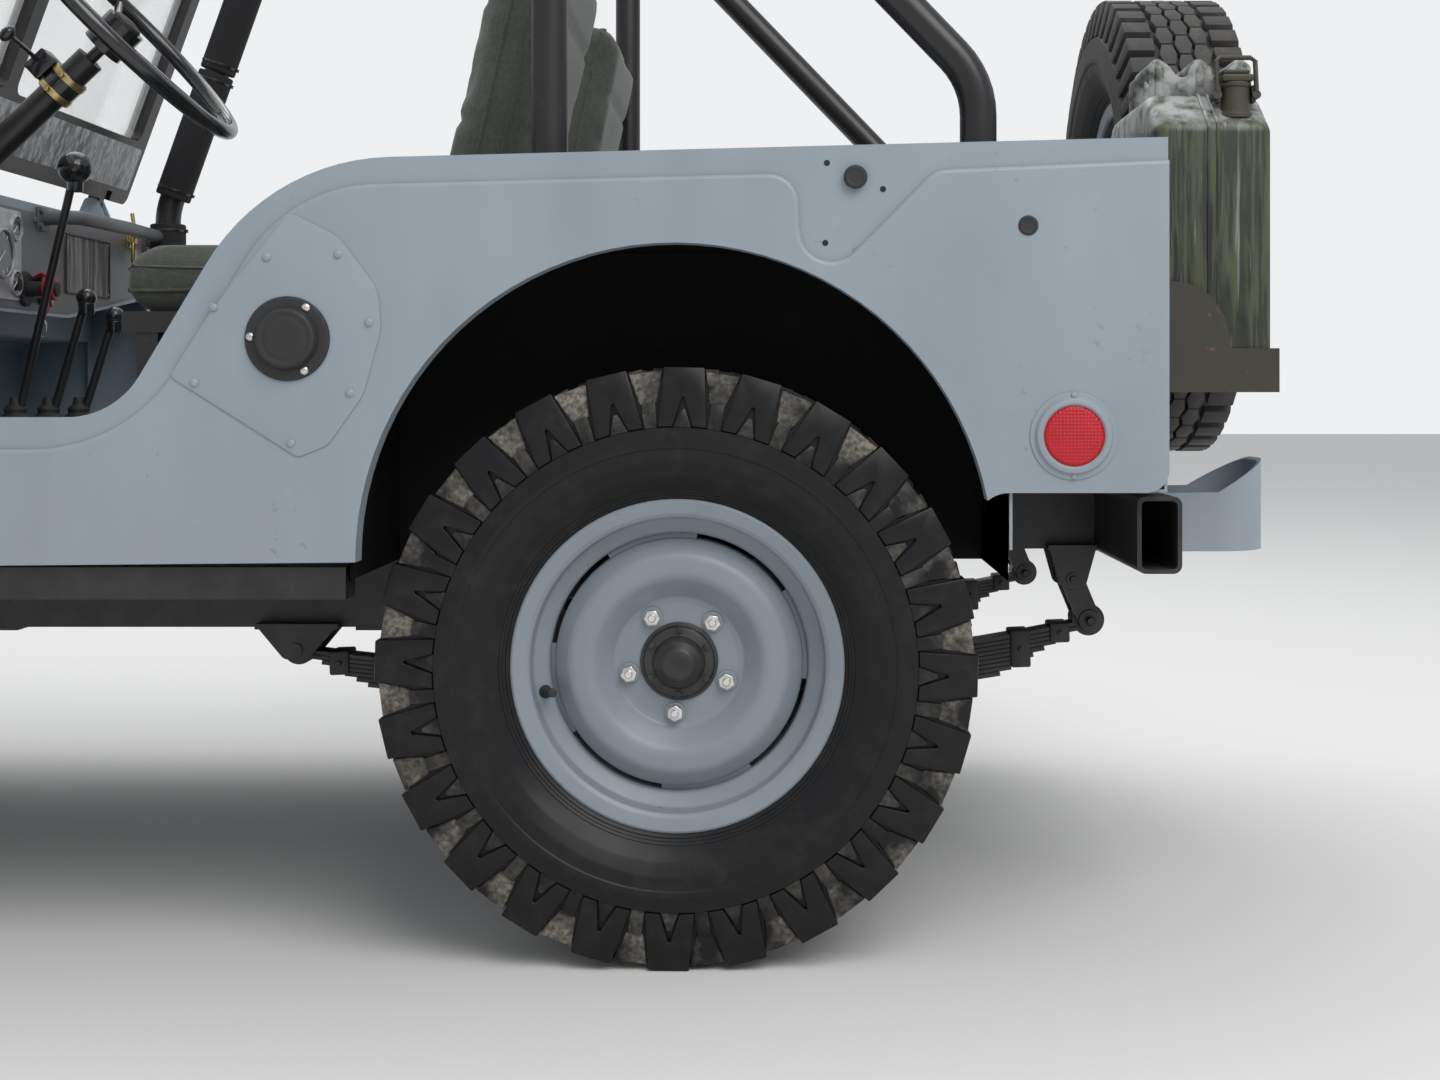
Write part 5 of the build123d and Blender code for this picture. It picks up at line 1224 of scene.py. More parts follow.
class BodySide(Trim):
    """What is fixed to the tub's sides: filler, reflectors, plugs and screws."""

    SMOOTH = 40.0
    FILLER_X, FILLER_Z = -354.0, 835.0
    CAP_SCREWS, CAP_SCREW_R = (3.0, 122.0, 241.0), 47.0
    REFLECTOR_X, REFLECTOR_Z = -1373.0, 709.0
    HOLE_Y = 752.0
    LINER_Y, LINER_W, LINER_T = 435.5, 309.0, 1.2
    # x and z of the plate's screws, and of the plate's own corners with their radii
    PLATE_SCREWS = ((-326.7, 940.5), (-419.1, 944.4), (-459.5, 855.8), (-434.7, 764.7), (-357.9, 699.6),
                    (-232.9, 777.7), (-257.7, 875.4))
    PLATE = ((-201, 786, 8), (-367, 681, 14), (-406, 697, 20), (-452, 762, 60), (-475, 847, 80),
             (-471, 899, 60), (-419, 968, 60), (-355, 1000, 12), (-256, 873, 200))

    def build(self) -> None:
        """Add every piece of the two sides."""
        self._filler()
        for side, hand, facing in HANDS:
            self._reflector(hand, facing.at(self.REFLECTOR_X, side * BODY_HALF, self.REFLECTOR_Z))
            self._plugs(side, hand, facing)
            self._arch_liner(side, hand)

    def _filler(self) -> None:
        """The filler's plate, flange, cap and screws."""
        outline = rounded([(x, -z, r) for x, z, r in self.PLATE], closed=True, steps=8)
        plate = Workpiece("filler_plate")
        plate.add(pressed(outline, 0.0, 2.2, 0.9), Facing.LEFT.at(0, BODY_HALF, 0))
        self.fit(plate, "body blue", "body_paint", nodes=("fuel_filler",))
        cap = Workpiece("filler_cap").add(lathed([
            (0, 0), (0, 55), (5, 55, 2), (6, 51, 1), (6.5, 42.5, 1), (6.5, 41.5), (18, 38.5, 2), (20, 35, 2),
            (19, 29, 2), (20, 24, 4), (20, 0)], 64),
            Facing.LEFT.at(self.FILLER_X, BODY_HALF + 1, self.FILLER_Z))
        self.fit(cap, "black rubber", "tyre_rubber", smooth=Trim.SMOOTH)
        bright = Workpiece("filler_cap_screws")
        for angle in self.CAP_SCREWS:
            x = self.FILLER_X + self.CAP_SCREW_R * math.cos(math.radians(angle))
            z = self.FILLER_Z + self.CAP_SCREW_R * math.sin(math.radians(angle))
            bright.add(pan_head(6.0, 4.0), Facing.LEFT.at(x, BODY_HALF + 6.5, z))
        self.fit(bright, "bright steel", "bare_steel")
        screws = Workpiece("filler_plate_screws")
        for x, z in self.PLATE_SCREWS:
            screws.add(pan_head(5.5, 3.2), Facing.LEFT.at(x, BODY_HALF + 2.2, z))
        self.fit(screws, "body blue", "body_paint")

    def _reflector(self, hand: str, spot: Matrix) -> None:
        """The round red reflector in its painted bezel."""
        ring = Workpiece(f"reflector_ring_{hand}").add(lathed([
            (0, 40), (0, 57), (2, 57, 1), (2.2, 51, 1), (7.5, 48, 2), (8.5, 42, 2), (6, 39.5, 1)], 64,
            hollow=True), spot)
        for turn in around(2, 90.0):
            ring.add(pan_head(4.0, 3.0), spot @ turn @ placed(53.0, 0, 2.0))
        self.fit(ring, "body blue", "body_paint", nodes=("lamps",))
        lens = Workpiece(f"reflector_lens_{hand}")
        lens.add(lathed([(1, 0), (1, 40), (5, 40, 1), (8, 36, 3), (10, 0)], 48), spot)
        self.fit(lens, "red lens", "lens_red")

    def _plugs(self, side: int, hand: str, facing: Facing) -> None:
        """Rubber plugs, and small holes under the top edge drawn as black discs, painted shade."""
        plugs = Workpiece(f"body_plugs_{hand}")
        for x, z, radius in ((-1090.0, 1045.0, 15.5), (-1314.0, 982.0, 13.0)):
            plugs.add(lathed([(-1, 0), (-1, radius), (1.5, radius, 1), (3, radius * 0.8, 1.5),
                              (2.2, radius * 0.55, 1), (2.2, 0)], 28), facing.at(x, side * BODY_HALF, z))
        self.fit(plugs, "black rubber", "tyre_rubber")
        # black discs on the panel stand in for holes: painted shade
        holes = Workpiece(f"body_holes_{hand}")
        for x, z in ((-1053.0, 1064.0), (-1126.0, 1030.0), (-1051.0, 960.0)):
            holes.add(lathed([(-1, 0), (-1, 4), (0.4, 4), (0.2, 0)], 14), facing.at(x, side * self.HOLE_Y, z))
        self.fit(holes, "arch black", "black_paint")

    def _arch_liner(self, side: int, hand: str) -> None:
        """A near-black sheet inside a rear wheel box."""
        rows = rounded([(-430, 520), (-430, 970.5, 255), (-1290, 970.5, 8), (-1290, 520)], steps=14)
        part = bmesh.new()
        verts = [part.verts.new((x * MM, self.LINER_Y * MM, z * MM)) for x, z in rows]
        edges = [part.edges.new(pair) for pair in zip(verts, verts[1:])]
        bmesh.ops.contextual_create(part, geom=verts)
        out = bmesh.ops.extrude_edge_only(part, edges=edges)["geom"]
        bmesh.ops.translate(part, verts=only(out, bmesh.types.BMVert), vec=(0, self.LINER_W * MM, 0))
        bmesh.ops.recalc_face_normals(part, faces=part.faces)
        bmesh.ops.solidify(part, geom=part.faces[:], thickness=self.LINER_T * MM)
        if side < 0:
            whole = part.verts[:] + part.edges[:] + part.faces[:]
            bmesh.ops.mirror(part, geom=whole, axis="Y", merge_dist=-1)
        self.fit(Workpiece(f"arch_liner_{hand}").add(part), "arch black", "black_paint")


@dataclass(frozen=True)
class Seat:
    """One padded canvas cushion, swelled as cloth."""

    name: str
    low: tuple[float, float, float]
    high: tuple[float, float, float]
    lean: float = 0.0
    foot: tuple[float, float, float] = (0.0, 0.0, 0.0)
    cap: float = 16.0
    voxel: float = 13.0
    seams: tuple[float, ...] = ()

    CLOTH_FRAMES = 18
    GATHER_FROM, GATHER = 0.78, 1.4 * MM
    SEAM_DEPTH, SEAM_W = 5.0 * MM, 7 * MM

    def spot(self) -> Matrix:
        """Where the cushion stands, leaned back."""
        return placed(*self.foot) @ turned_by(-self.lean, "Y")

    def _swelled(self, piece: bpy.types.Object) -> None:
        """Swell a cushion with cloth pressure and keep every point within its cap."""
        start = [vert.co.copy() for vert in piece.data.vertices]
        cloth = piece.modifiers.new("swell", "CLOTH")
        cloth.settings.use_pressure = True
        cloth.settings.uniform_pressure_force = 4.0
        cloth.settings.effector_weights.gravity = 0.0
        cloth.settings.tension_stiffness = 30.0
        cloth.settings.bending_stiffness = 4.0
        scene = bpy.context.scene
        for frame in range(1, self.CLOTH_FRAMES + 1):
            scene.frame_set(frame)
        shape = piece.evaluated_get(bpy.context.evaluated_depsgraph_get()).to_mesh()
        moved = [vert.co.copy() for vert in shape.vertices]
        piece.modifiers.remove(cloth)
        scene.frame_set(1)
        limit = self.cap * MM
        for vert, before, after in zip(piece.data.vertices, start, moved):
            shift = after - before
            vert.co = before + (shift.normalized() * limit if shift.length > limit else shift)

    def mesh(self) -> Mesh:
        """Shape the cushion.

        Returns:
            Its mesh, in place.
        """
        margin = self.cap * 0.75
        part = block([a + margin for a in self.low], [b - margin for b in self.high], 22.0, 4)
        bmesh.ops.triangulate(part, faces=part.faces[:])
        mesh = bpy.data.meshes.new(self.name)
        part.to_mesh(mesh)
        part.free()
        piece = bpy.data.objects.new("swelling", mesh)
        bpy.context.scene.collection.objects.link(piece)
        remesh = piece.modifiers.new("even", "REMESH")
        remesh.mode = "VOXEL"
        remesh.voxel_size = self.voxel * MM
        even = bpy.data.meshes.new_from_object(piece.evaluated_get(bpy.context.evaluated_depsgraph_get()))
        piece.modifiers.clear()
        piece.data = even
        self._swelled(piece)
        result = piece.data
        bpy.data.objects.remove(piece)
        self._pucker(result)
        result.transform(self.spot())
        result.shade_smooth()
        return result

    def _pucker(self, mesh: Mesh) -> None:
        """Pull in the edge seams and the sewn channels, with small gathers beside them."""
        middle = [(a + b) / 2 * MM for a, b in zip(self.low, self.high)]
        half = [(b - a) / 2 * MM for a, b in zip(self.low, self.high)]
        thin = half.index(min(half))
        wide = [axis for axis in range(3) if axis != thin]
        for vert in mesh.vertices:
            local = [vert.co[axis] - middle[axis] for axis in range(3)]
            edge = max(abs(local[axis]) / half[axis] for axis in wide)
            gather = math.sin(vert.co[wide[0]] * 160) * math.sin(vert.co[wide[1]] * 145 + vert.co[thin] * 60)
            pull = self.GATHER * gather * max(0.0, edge - self.GATHER_FROM) / (1 - self.GATHER_FROM)
            for seam in self.seams:
                gap = abs(local[wide[-1]] / half[wide[-1]] - seam) * half[wide[-1]]
                pull -= self.SEAM_DEPTH * math.exp(-((gap / self.SEAM_W) ** 2))
            vert.co[thin] += pull if local[thin] > 0 else -pull


class Seats(Trim):
    """Front seats and the rear bench in canvas."""

    SMOOTH = 40.0
    FRONT_Y, HALF = 355.0, 215.0
    PIPING_R, PIPING_STEP, PIPING_CORNER = 3.2, 30.0, 34.0

    def _pad(self, seat: Seat, nodes: tuple[str, ...] = ()) -> Mesh:
        """Install a cushion and return its mesh."""
        mesh = seat.mesh()
        piece = install(seat.name, mesh, self.palette["canvas"], Rider(ROOT, "canvas", nodes))
        return mesh

    def _piping(self, name: str, mesh: Mesh, corners: Sequence[Row], spot: Matrix) -> None:
        """Add a sewn edge that follows the cushion's surface.

        Args:
            name: the piece's name.
            mesh: the cushion.
            corners: the seam's route before it is drawn on to the surface.
            spot: the cushion's own placing.
        """
        points, faces = [vert.co for vert in mesh.vertices], [face.vertices for face in mesh.polygons]
        tree = BVHTree.FromPolygons(points, faces)
        route = [tree.find_nearest(spot @ (Vector(point) * MM))[0] / MM for point in corners]
        self.fit(Workpiece(name).add(rod(route, self.PIPING_R, 8, closed=True)), "webbing", "canvas")

    def _loop(self, low: Row, high: Row, fixed: int, value: float) -> list[list[float]]:
        """A rounded loop round a cushion at one place along an axis."""
        first, second = [axis for axis in range(3) if axis != fixed]
        flat = oblong(low[first], low[second], high[first], high[second], self.PIPING_CORNER, 6)
        points = []
        for start, end in zip(flat, flat[1:] + flat[:1]):
            count = max(1, round(math.dist(start, end) / self.PIPING_STEP))
            for step in range(count):
                point = [value] * 3
                point[first] = start[0] + (end[0] - start[0]) * step / count
                point[second] = start[1] + (end[1] - start[1]) * step / count
                points.append(point)
        return points

    def build(self) -> None:
        """Add the cushions, backs, bench and their piping."""
        for side, hand, _ in HANDS:
            y = side * self.FRONT_Y
            cushion = Seat(f"cushion_{hand}", (-480.0, y - self.HALF, 880.5), (-39.0, y + self.HALF, 974.0))
            back = Seat(f"seat_back_{hand}", (-110.0, -self.HALF, 0.0), (0.0, self.HALF, 470.0), lean=12.6,
                        foot=(-500.0, y, 1007.0), seams=(-0.35, 0.4))
            for seat, node, fixed, rings in ((cushion, "seat_cushions", 2, (901.0, 956.0)),
                                             (back, "seat_backs", 0, (-38.0, -82.0))):
                mesh = self._pad(seat, (node,) if side > 0 else ())
                for index, value in enumerate(rings):
                    loop = self._loop(seat.low, seat.high, fixed, value)
                    self._piping(f"{seat.name}_piping_{index + 1}", mesh, loop, seat.spot())
        self._pad(Seat("bench_cushion", (-1085.0, -395.0, 925.5), (-725.0, 395.0, 996.0), cap=12.0))


class JerryCan(Trim):
    """The fuel can in its carrier."""

    X0, X1 = -1670.0, -1505.0
    Y0, Y1 = 275.0, 620.0
    Z0, Z1 = 775.0, 1186.0
    SHOULDER_Z = 1134.0
    GRIP_Y, GRIP_HALF, GRIP_Z, GRIP_FOOT, GRIP_GAP = 465.0, 72.0, 1233.0, 1180.0, 58.0
    RIB_HALF, RIB_TURN, RIB_Y, RIB_Z = 118.0, 38.0, 447.0, 960.0
    NECK_X, NECK_Y, NECK_Z = -1625.5, 586.0, 1146.0
    SMOOTH = 32.0

    def build(self) -> None:
        """Add the can's shell, seams, crossed ribs, handles, neck and cap."""
        middle, half = (self.X0 + self.X1) / 2, (self.X1 - self.X0) / 2
        body = Workpiece("fuel_can")
        shell = rounded([(self.Y0, self.Z0, 34), (self.Y1, self.Z0, 34), (self.Y1, self.SHOULDER_Z, 22),
                         (self.Y1 - 70, self.Z1, 40), (self.Y0 + 30, self.Z1, 30),
                         (self.Y0, self.Z1 - 26, 30)], closed=True, steps=6)
        seam = rounded([(self.Y0 - 1.5, self.Z0 - 0.5, 34), (self.Y1 + 1.5, self.Z0 - 0.5, 34),
                        (self.Y1 + 1.5, self.SHOULDER_Z + 2, 22), (self.Y1 - 69, self.Z1 + 3.5, 40),
                        (self.Y0 + 29, self.Z1 + 3.5, 30), (self.Y0 - 1.5, self.Z1 - 25, 30)],
                       closed=True, steps=6)
        for outline, reach, edge, segments, shift in (
                (shell, half, 26.0, 5, 0.0), (seam, 2.4, 1.6, 2, -6.5), (seam, 2.4, 1.6, 2, 6.5)):
            part = pressed([(-z, y) for y, z in outline], -reach, reach, edge, segments)
            body.add(part, Facing.FRONT.at(middle + shift, 0, 0))
        for facing, x in ((Facing.FRONT, middle + half), (Facing.BACK, middle - half)):
            for turn in (self.RIB_TURN, -self.RIB_TURN):
                rib = pressed(oblong(-self.RIB_HALF, -9, self.RIB_HALF, 9, 9), -4.0, 2.2, 2.0)
                body.add(rib, facing.at(x, self.RIB_Y, self.RIB_Z, 90.0 + turn))
        self._handles(body, middle)
        self.fit(body, "can olive", "can_green", nodes=("jerry_can",))
        self._neck()

    def _handles(self, body: Workpiece, middle: float) -> None:
        """Three grips along the can, joined by a scalloped plate at each end."""
        low, high = self.GRIP_Y - self.GRIP_HALF, self.GRIP_Y + self.GRIP_HALF
        path = rounded([(low, self.GRIP_FOOT), (low, self.GRIP_Z, 16), (high, self.GRIP_Z, 16),
                        (high, self.GRIP_FOOT)])
        for shift in (-self.GRIP_GAP, 0.0, self.GRIP_GAP):
            body.add(rod([(middle + shift, y, z) for y, z in path], 8.0, 14))
        plate = rounded([(-72, 1182), (72, 1182), (72, 1228, 10), (58, 1239, 10), (44, 1228, 10),
                         (32, 1212, 12), (18, 1212, 12), (14, 1228, 10), (0, 1239, 10), (-14, 1228, 10),
                         (-18, 1212, 12), (-32, 1212, 12), (-44, 1228, 10), (-58, 1239, 10),
                         (-72, 1228, 10)], closed=True, steps=3)
        for y in (low - 2, high + 2):
            body.add(pressed([(x, -z) for x, z in plate], -2.0, 2.0, 1.0), Facing.LEFT.at(middle, y, 0))

    def _neck(self) -> None:
        """Neck, and the cap with its cam lever."""
        x, y = self.NECK_X, self.NECK_Y
        neck = Workpiece("fuel_can_neck").add(lathed([
            (0, 0), (0, 24), (6, 24, 3), (9, 20, 2), (42, 19.5), (44, 22, 2), (50, 22, 2), (50, 0)], 36),
            placed(x, y, self.NECK_Z))
        for side in SIDES:
            neck.add(block((x + side * 24 - 3, y - 9, 1168), (x + side * 24 + 3, y + 9, 1192), 1.5))
            neck.add(rod([(x + side * 27, y - 14, 1178), (x + side * 27, y + 14, 1178)], 6.0, 14))
        neck.add(rod([(x - 27, y + 12, 1182), (x - 27, y + 4, 1226), (x - 21, y + 2, 1231),
                      (x + 21, y + 2, 1231), (x + 27, y + 4, 1226), (x + 27, y + 12, 1182)], 3.4, 10))
        neck.add(block((x - 22, y - 20, 1196), (x + 22, y + 20, 1206), 3.0))
        neck.add(block((x - 19, y - 46, 1208), (x + 19, y + 8, 1214), 2.0))
        self.fit(neck, "carrier olive", "can_green")


class Cabin(Trim):
    """Dash, levers, steering wheel trim and cage padding."""

    DASH_X = 345.0
    # turns a shape that faces the seats so that its own Y points up and its own X to the car's right
    UPRIGHT = -90.0
    COLUMN_TURN = 43.5
    WHEEL = Vector((5.0, 355.0, 1320.0))
    POST_X, POST_Y, POST_BEND_Z, POST_LEAN = 272.0, 640.0, 1140.0, 19.5
    GAUGES_Z, NEEDLE_TURN = 1004.0, 0.7
    # y and z from the cluster's middle, and radius
    GAUGES = ((0.0, 0.0, 40.0), (-52.0, 48.0, 20.0), (52.0, 48.0, 20.0), (-52.0, -48.0, 20.0),
              (52.0, -48.0, 20.0))
    KNOBS = ((150.0, 1040.0), (150.0, 985.0), (190.0, 1012.0), (-130.0, 965.0), (-160.0, 930.0))
    BAR_REACH, BAR_ENDS = 62.0, (-172.0, -716.0)
    # x, y and z of each lever's knob with its radius, and x and y of each boot
    LEVER_KNOBS = ((216.0, 0.0, 1150.0, 29.0), (215.0, -48.0, 930.0, 17.0), (180.0, -86.0, 900.0, 17.0))
    BOOTS, BOOT_Z = ((319.0, 0.0), (280.0, -45.0), (240.0, -78.0)), 705.0
    SWITCH_DOWN = 128.0
    LATCH_Y = 610.0
    SCREEN_X, SCREEN_Z, SCREEN_LEAN = 395.0, 1146.0, 20.0

    def build(self) -> None:
        """Add every piece of the cabin's trim."""
        self._cage_pads()
        self._dash()
        self._gauges()
        self._grab_bar()
        self._socket()
        self._signal_lever()
        self._knobs()
        self._latches()

    def _on_dash(self, y: float, z: float, proud: float = 0.0) -> Matrix:
        """A place on the dash that faces the seats."""
        return Facing.BACK.at(self.DASH_X - proud, y, z)

    def _cage_pads(self) -> None:
        """Foam sleeves on the cage's front legs, with their ties."""
        band = rounded([(-2.5, 34.5), (-2.5, 36.8, 0.8), (2.5, 36.8, 0.8), (2.5, 34.5)])
        for side, hand, _ in HANDS:
            foot = placed(self.POST_X, side * self.POST_Y, 0)
            lean = foot @ placed(0, 0, self.POST_BEND_Z) @ turned_by(-self.POST_LEAN, "Y")
            pad = Workpiece(f"cage_pad_{hand}")
            for spot, runs in ((foot, ((670, 893), (897, 1112))), (lean, ((28, 300), (304, 620)))):
                for low, high in runs:
                    sleeve = [(low, 26), (low, 35.5, 5), (high, 35.5, 5), (high, 26)]
                    pad.add(lathed(sleeve, 40, hollow=True), spot)
            self.fit(pad, "foam pad", "tyre_rubber")
            ties = Workpiece(f"cage_ties_{hand}")
            for spot, places in ((foot, (690, 880, 910, 1098)), (lean, (45, 285, 320, 600))):
                for place in places:
                    ties.add(turned(band, steps=36), spot @ placed(0, 0, place))
                    ties.add(block((-41.0, -4.0, -3.5), (-35.5, 4.0, 3.5), 0.8), spot @ placed(0, 0, place))
            self.fit(ties, "black gloss", "wheel_black")

    def _dash(self) -> None:
        """The dash's skin, its blank data plate and the screws that hold them."""
        outline = rounded([(-738, 1088, 40), (738, 1088, 40), (738, 972, 24), (296, 912, 60), (-296, 912, 60),
                           (-738, 972, 24)], closed=True)
        flat = Facing.BACK.at(self.DASH_X, 0, 0, self.UPRIGHT)
        skin = Workpiece("dash_skin").add(pressed(outline, 0.2, 2.0, 0.6), flat)
        plate = Workpiece("data_plate").add(pressed(oblong(276, 1064, 500, 950, 8), 2.0, 3.4, 0.5), flat)
        self.fit(plate, "worn plate", "bare_steel")
        x = self.DASH_X - 3.6
        corners = [(x, -278, 1062), (x, -498, 1062), (x, -498, 952), (x, -278, 952)]
        rim = Workpiece("data_plate_rim").add(rod(corners, 2.2, 8, closed=True))
        self.fit(rim, "spring black", "bare_steel")
        for y, z in ((-492.0, 1056.0), (-284.0, 1056.0), (-492.0, 958.0), (-284.0, 958.0)):
            skin.add(pan_head(3.5, 2.4), self._on_dash(y, z, 3.4))
        for y, z in ((-700.0, 1070.0), (-700.0, 990.0), (-140.0, 1074.0), (700.0, 1070.0), (700.0, 990.0)):
            skin.add(pan_head(6.0, 4.0), self._on_dash(y, z, 2.0))
        self.fit(skin, "dash grey", "body_paint")

    def _gauges(self) -> None:
        """The instrument cluster in the middle of the dash, and the switches round it."""
        panel = Workpiece("gauge_panel").add(pressed(oblong(-78, -78, 78, 78, 12), 2.0, 4.5, 0.8),
                                             self._on_dash(0, self.GAUGES_Z))
        faces, needles = Workpiece("gauge_faces"), Workpiece("gauge_needles")
        for y, z, radius in self.GAUGES:
            spot = self._on_dash(y, self.GAUGES_Z + z)
            bezel = [(4, radius - 1), (4, radius + 4), (9, radius + 3, 2), (9.5, radius, 1)]
            panel.add(lathed(bezel, 40, hollow=True), spot)
            faces.add(lathed([(4.4, 0), (4.4, radius), (5.4, radius), (5.4, 0)], 36), spot)
            for turn in range(-120, 121, 30):
                mark = block((-0.8, radius * 0.72, 5.3), (0.8, radius * 0.9, 5.9))
                needles.add(mark, spot @ turned_by(turn))
            needle = block((-1.2, -radius * 0.2, 5.8), (1.2, radius * 0.68, 6.6))
            needles.add(needle, spot @ Matrix.Rotation(self.NEEDLE_TURN, 4, "Z"))
        self.fit(panel, "satin alloy", "bare_steel")
        self.fit(faces, "dial face", "wheel_black")
        self.fit(needles, "dial white", "lamp_lens")
        knobs = Workpiece("dash_knobs")
        rows = [(2, 0), (2, 7), (14, 6, 1), (15, 11, 3), (26, 11, 4), (27, 0)]
        knobs.repeat(lathed(rows, 24), [self._on_dash(y, z) for y, z in self.KNOBS])
        self.fit(knobs, "black gloss", "wheel_black")

    def _grab_bar(self) -> None:
        """The passenger's grab bar."""
        x = self.DASH_X
        reach = x - self.BAR_REACH
        piece = Workpiece("grab_bar").add(rod([
            (x, -172, 1080), (reach + 14, -176, 1082), (reach, -196, 1083), (reach, -440, 1086),
            (reach, -690, 1083), (reach + 14, -712, 1082), (x, -716, 1080)], 13.0, 20))
        for y in self.BAR_ENDS:
            piece.add(block((x - 6, y - 24, 1058), (x - 1.5, y + 24, 1100), 1.5))
            for z in (1065.0, 1093.0):
                piece.add(hexagon(10.0, 0.0, 5.0), self._on_dash(y + 17, z, 6))
        self.fit(piece, "dash grey", "body_paint")

    def _socket(self) -> None:
        """The plug with its red cover, its strap and clip."""
        x, spot = self.DASH_X, self._on_dash(-96.0, 948.0)
        base = Workpiece("dash_socket").add(lathed([
            (1.5, 0), (1.5, 31), (7, 31, 2), (9, 27, 2), (9, 14), (62, 13, 2), (64, 0)], 40), spot)
        self.fit(base, "black rubber", "wheel_black")
        cover = Workpiece("dash_socket_cover")
        cover.add(lathed([(38, 13.2), (38, 20, 2), (58, 20, 2), (58, 13.2)], 32, hollow=True), spot)
        cover.add(rod([(x - 48, -82, 934), (x - 50, -78, 912), (x - 42, -76, 894)], 3.2, 10))
        cover.add(rod([(x - 8, -118, 968), (x - 26, -112, 976), (x - 46, -104, 966)], 3.2, 10))
        self.fit(cover, "red rubber", "lens_red")
        ring = [(x - 42 + 7 * math.cos(turn), -76.0, 878.0 + 15 * math.sin(turn))
                for turn in (math.pi * 2 * step / 14 for step in range(14))]
        clip = Workpiece("dash_socket_clip").add(rod(ring, 1.8, 8, closed=True))
        self.fit(clip, "bright steel", "bare_steel")

    def _signal_lever(self) -> None:
        """The turn signal switch clamped to the column."""
        turn = math.radians(self.COLUMN_TURN)
        place = self.WHEEL + Vector((math.cos(turn), 0, -math.sin(turn))) * self.SWITCH_DOWN
        spot = placed(*place) @ turned_by(90.0 + self.COLUMN_TURN, "Y")
        box = Workpiece("signal_switch")
        box.add(lathed([(-22, 22.4), (-22, 27, 2), (22, 27, 2), (22, 22.4)], 36, hollow=True), spot)
        box.add(block((-58.0, -18.0, -20.0), (-26.0, 18.0, 20.0), 4.0), spot)
        box.add(rod([(-48, 10, 0), (-54, 60, -8), (-58, 118, -14)], 3.5, 10), spot)
        box.add(ball(9.5, 1.4, 16), spot @ placed(-59, 128, -15))
        self.fit(box, "black gloss", "wheel_black")
        band = Workpiece("signal_clamp")
        for shift in (-15.0, 15.0):
            rows = [(shift - 5, 26.6), (shift - 5, 28.4, 0.8), (shift + 5, 28.4, 0.8), (shift + 5, 26.6)]
            band.add(lathed(rows, 36, hollow=True), spot)
            band.add(hexagon(8.0, 26.0, 38.0), spot @ placed(0, 0, shift) @ Facing.LEFT.at(0, 0, 0))
        self.fit(band, "brass", "bare_steel")

    def _knobs(self) -> None:
        """Gear knobs, boots and the steering wheel's horn button."""
        knobs, boots = Workpiece("gear_knobs"), Workpiece("lever_boots")
        collar = [(-12, 9), (-12, 13, 2), (8, 14, 2), (8, 9)]
        for x, y, z, radius in self.LEVER_KNOBS:
            knobs.add(ball(radius, 0.97, 32), placed(x, y, z))
            knobs.add(lathed(collar, 24, hollow=True), placed(x, y, z - radius))
        self.fit(knobs, "black gloss", "wheel_black")
        rows = [(0, 8), (0, 38), (6, 38, 2), (10, 24, 3), (18, 26, 3), (24, 17, 3), (32, 19, 3), (40, 11, 2),
                (52, 8.5), (52, 7.2)]
        for x, y in self.BOOTS:
            boots.add(lathed(rows, 32, hollow=True, corners=3), placed(x, y, self.BOOT_Z))
        self.fit(boots, "black rubber", "tyre_rubber")
        horn = Workpiece("horn_button").add(lathed([(5, 0), (5, 24), (11, 23, 3), (14, 12, 8), (15, 0)], 36),
                                            placed(*self.WHEEL) @ turned_by(-90.0 + self.COLUMN_TURN, "Y"))
        self.fit(horn, "black rubber", "wheel_black", body="steering_wheel")

    def _latches(self) -> None:
        """Windscreen clamps on the cowl, and the stained skin under the glass."""
        x = self.DASH_X
        latch = Workpiece("screen_latches")
        for side in SIDES:
            y = side * self.LATCH_Y
            latch.add(block((x - 5, y - 13, 1062), (x - 1.5, y + 13, 1100), 1.2))
            latch.add(rod([(x - 10, y, 1068), (x - 14, y, 1100), (x - 9, y, 1132)], 4.0, 12))
            latch.add(rod([(x - 10, y - 16, 1076), (x - 10, y + 16, 1076)], 5.0, 14))
            latch.add(block((x - 16, y - 8, 1030), (x - 9, y + 8, 1072), 2.0))
        self.fit(latch, "brass", "bare_steel")
        lean = placed(self.SCREEN_X, 0, self.SCREEN_Z) @ turned_by(-self.SCREEN_LEAN, "Y")
        apron = Workpiece("screen_apron").add(pressed(oblong(-655, 136, 655, 46, 8), 17.2, 19.0, 0.6),
                                              lean @ Facing.BACK.at(0, 0, 0, self.UPRIGHT))
        self.fit(apron, "stained steel", "body_paint", body="windscreen")


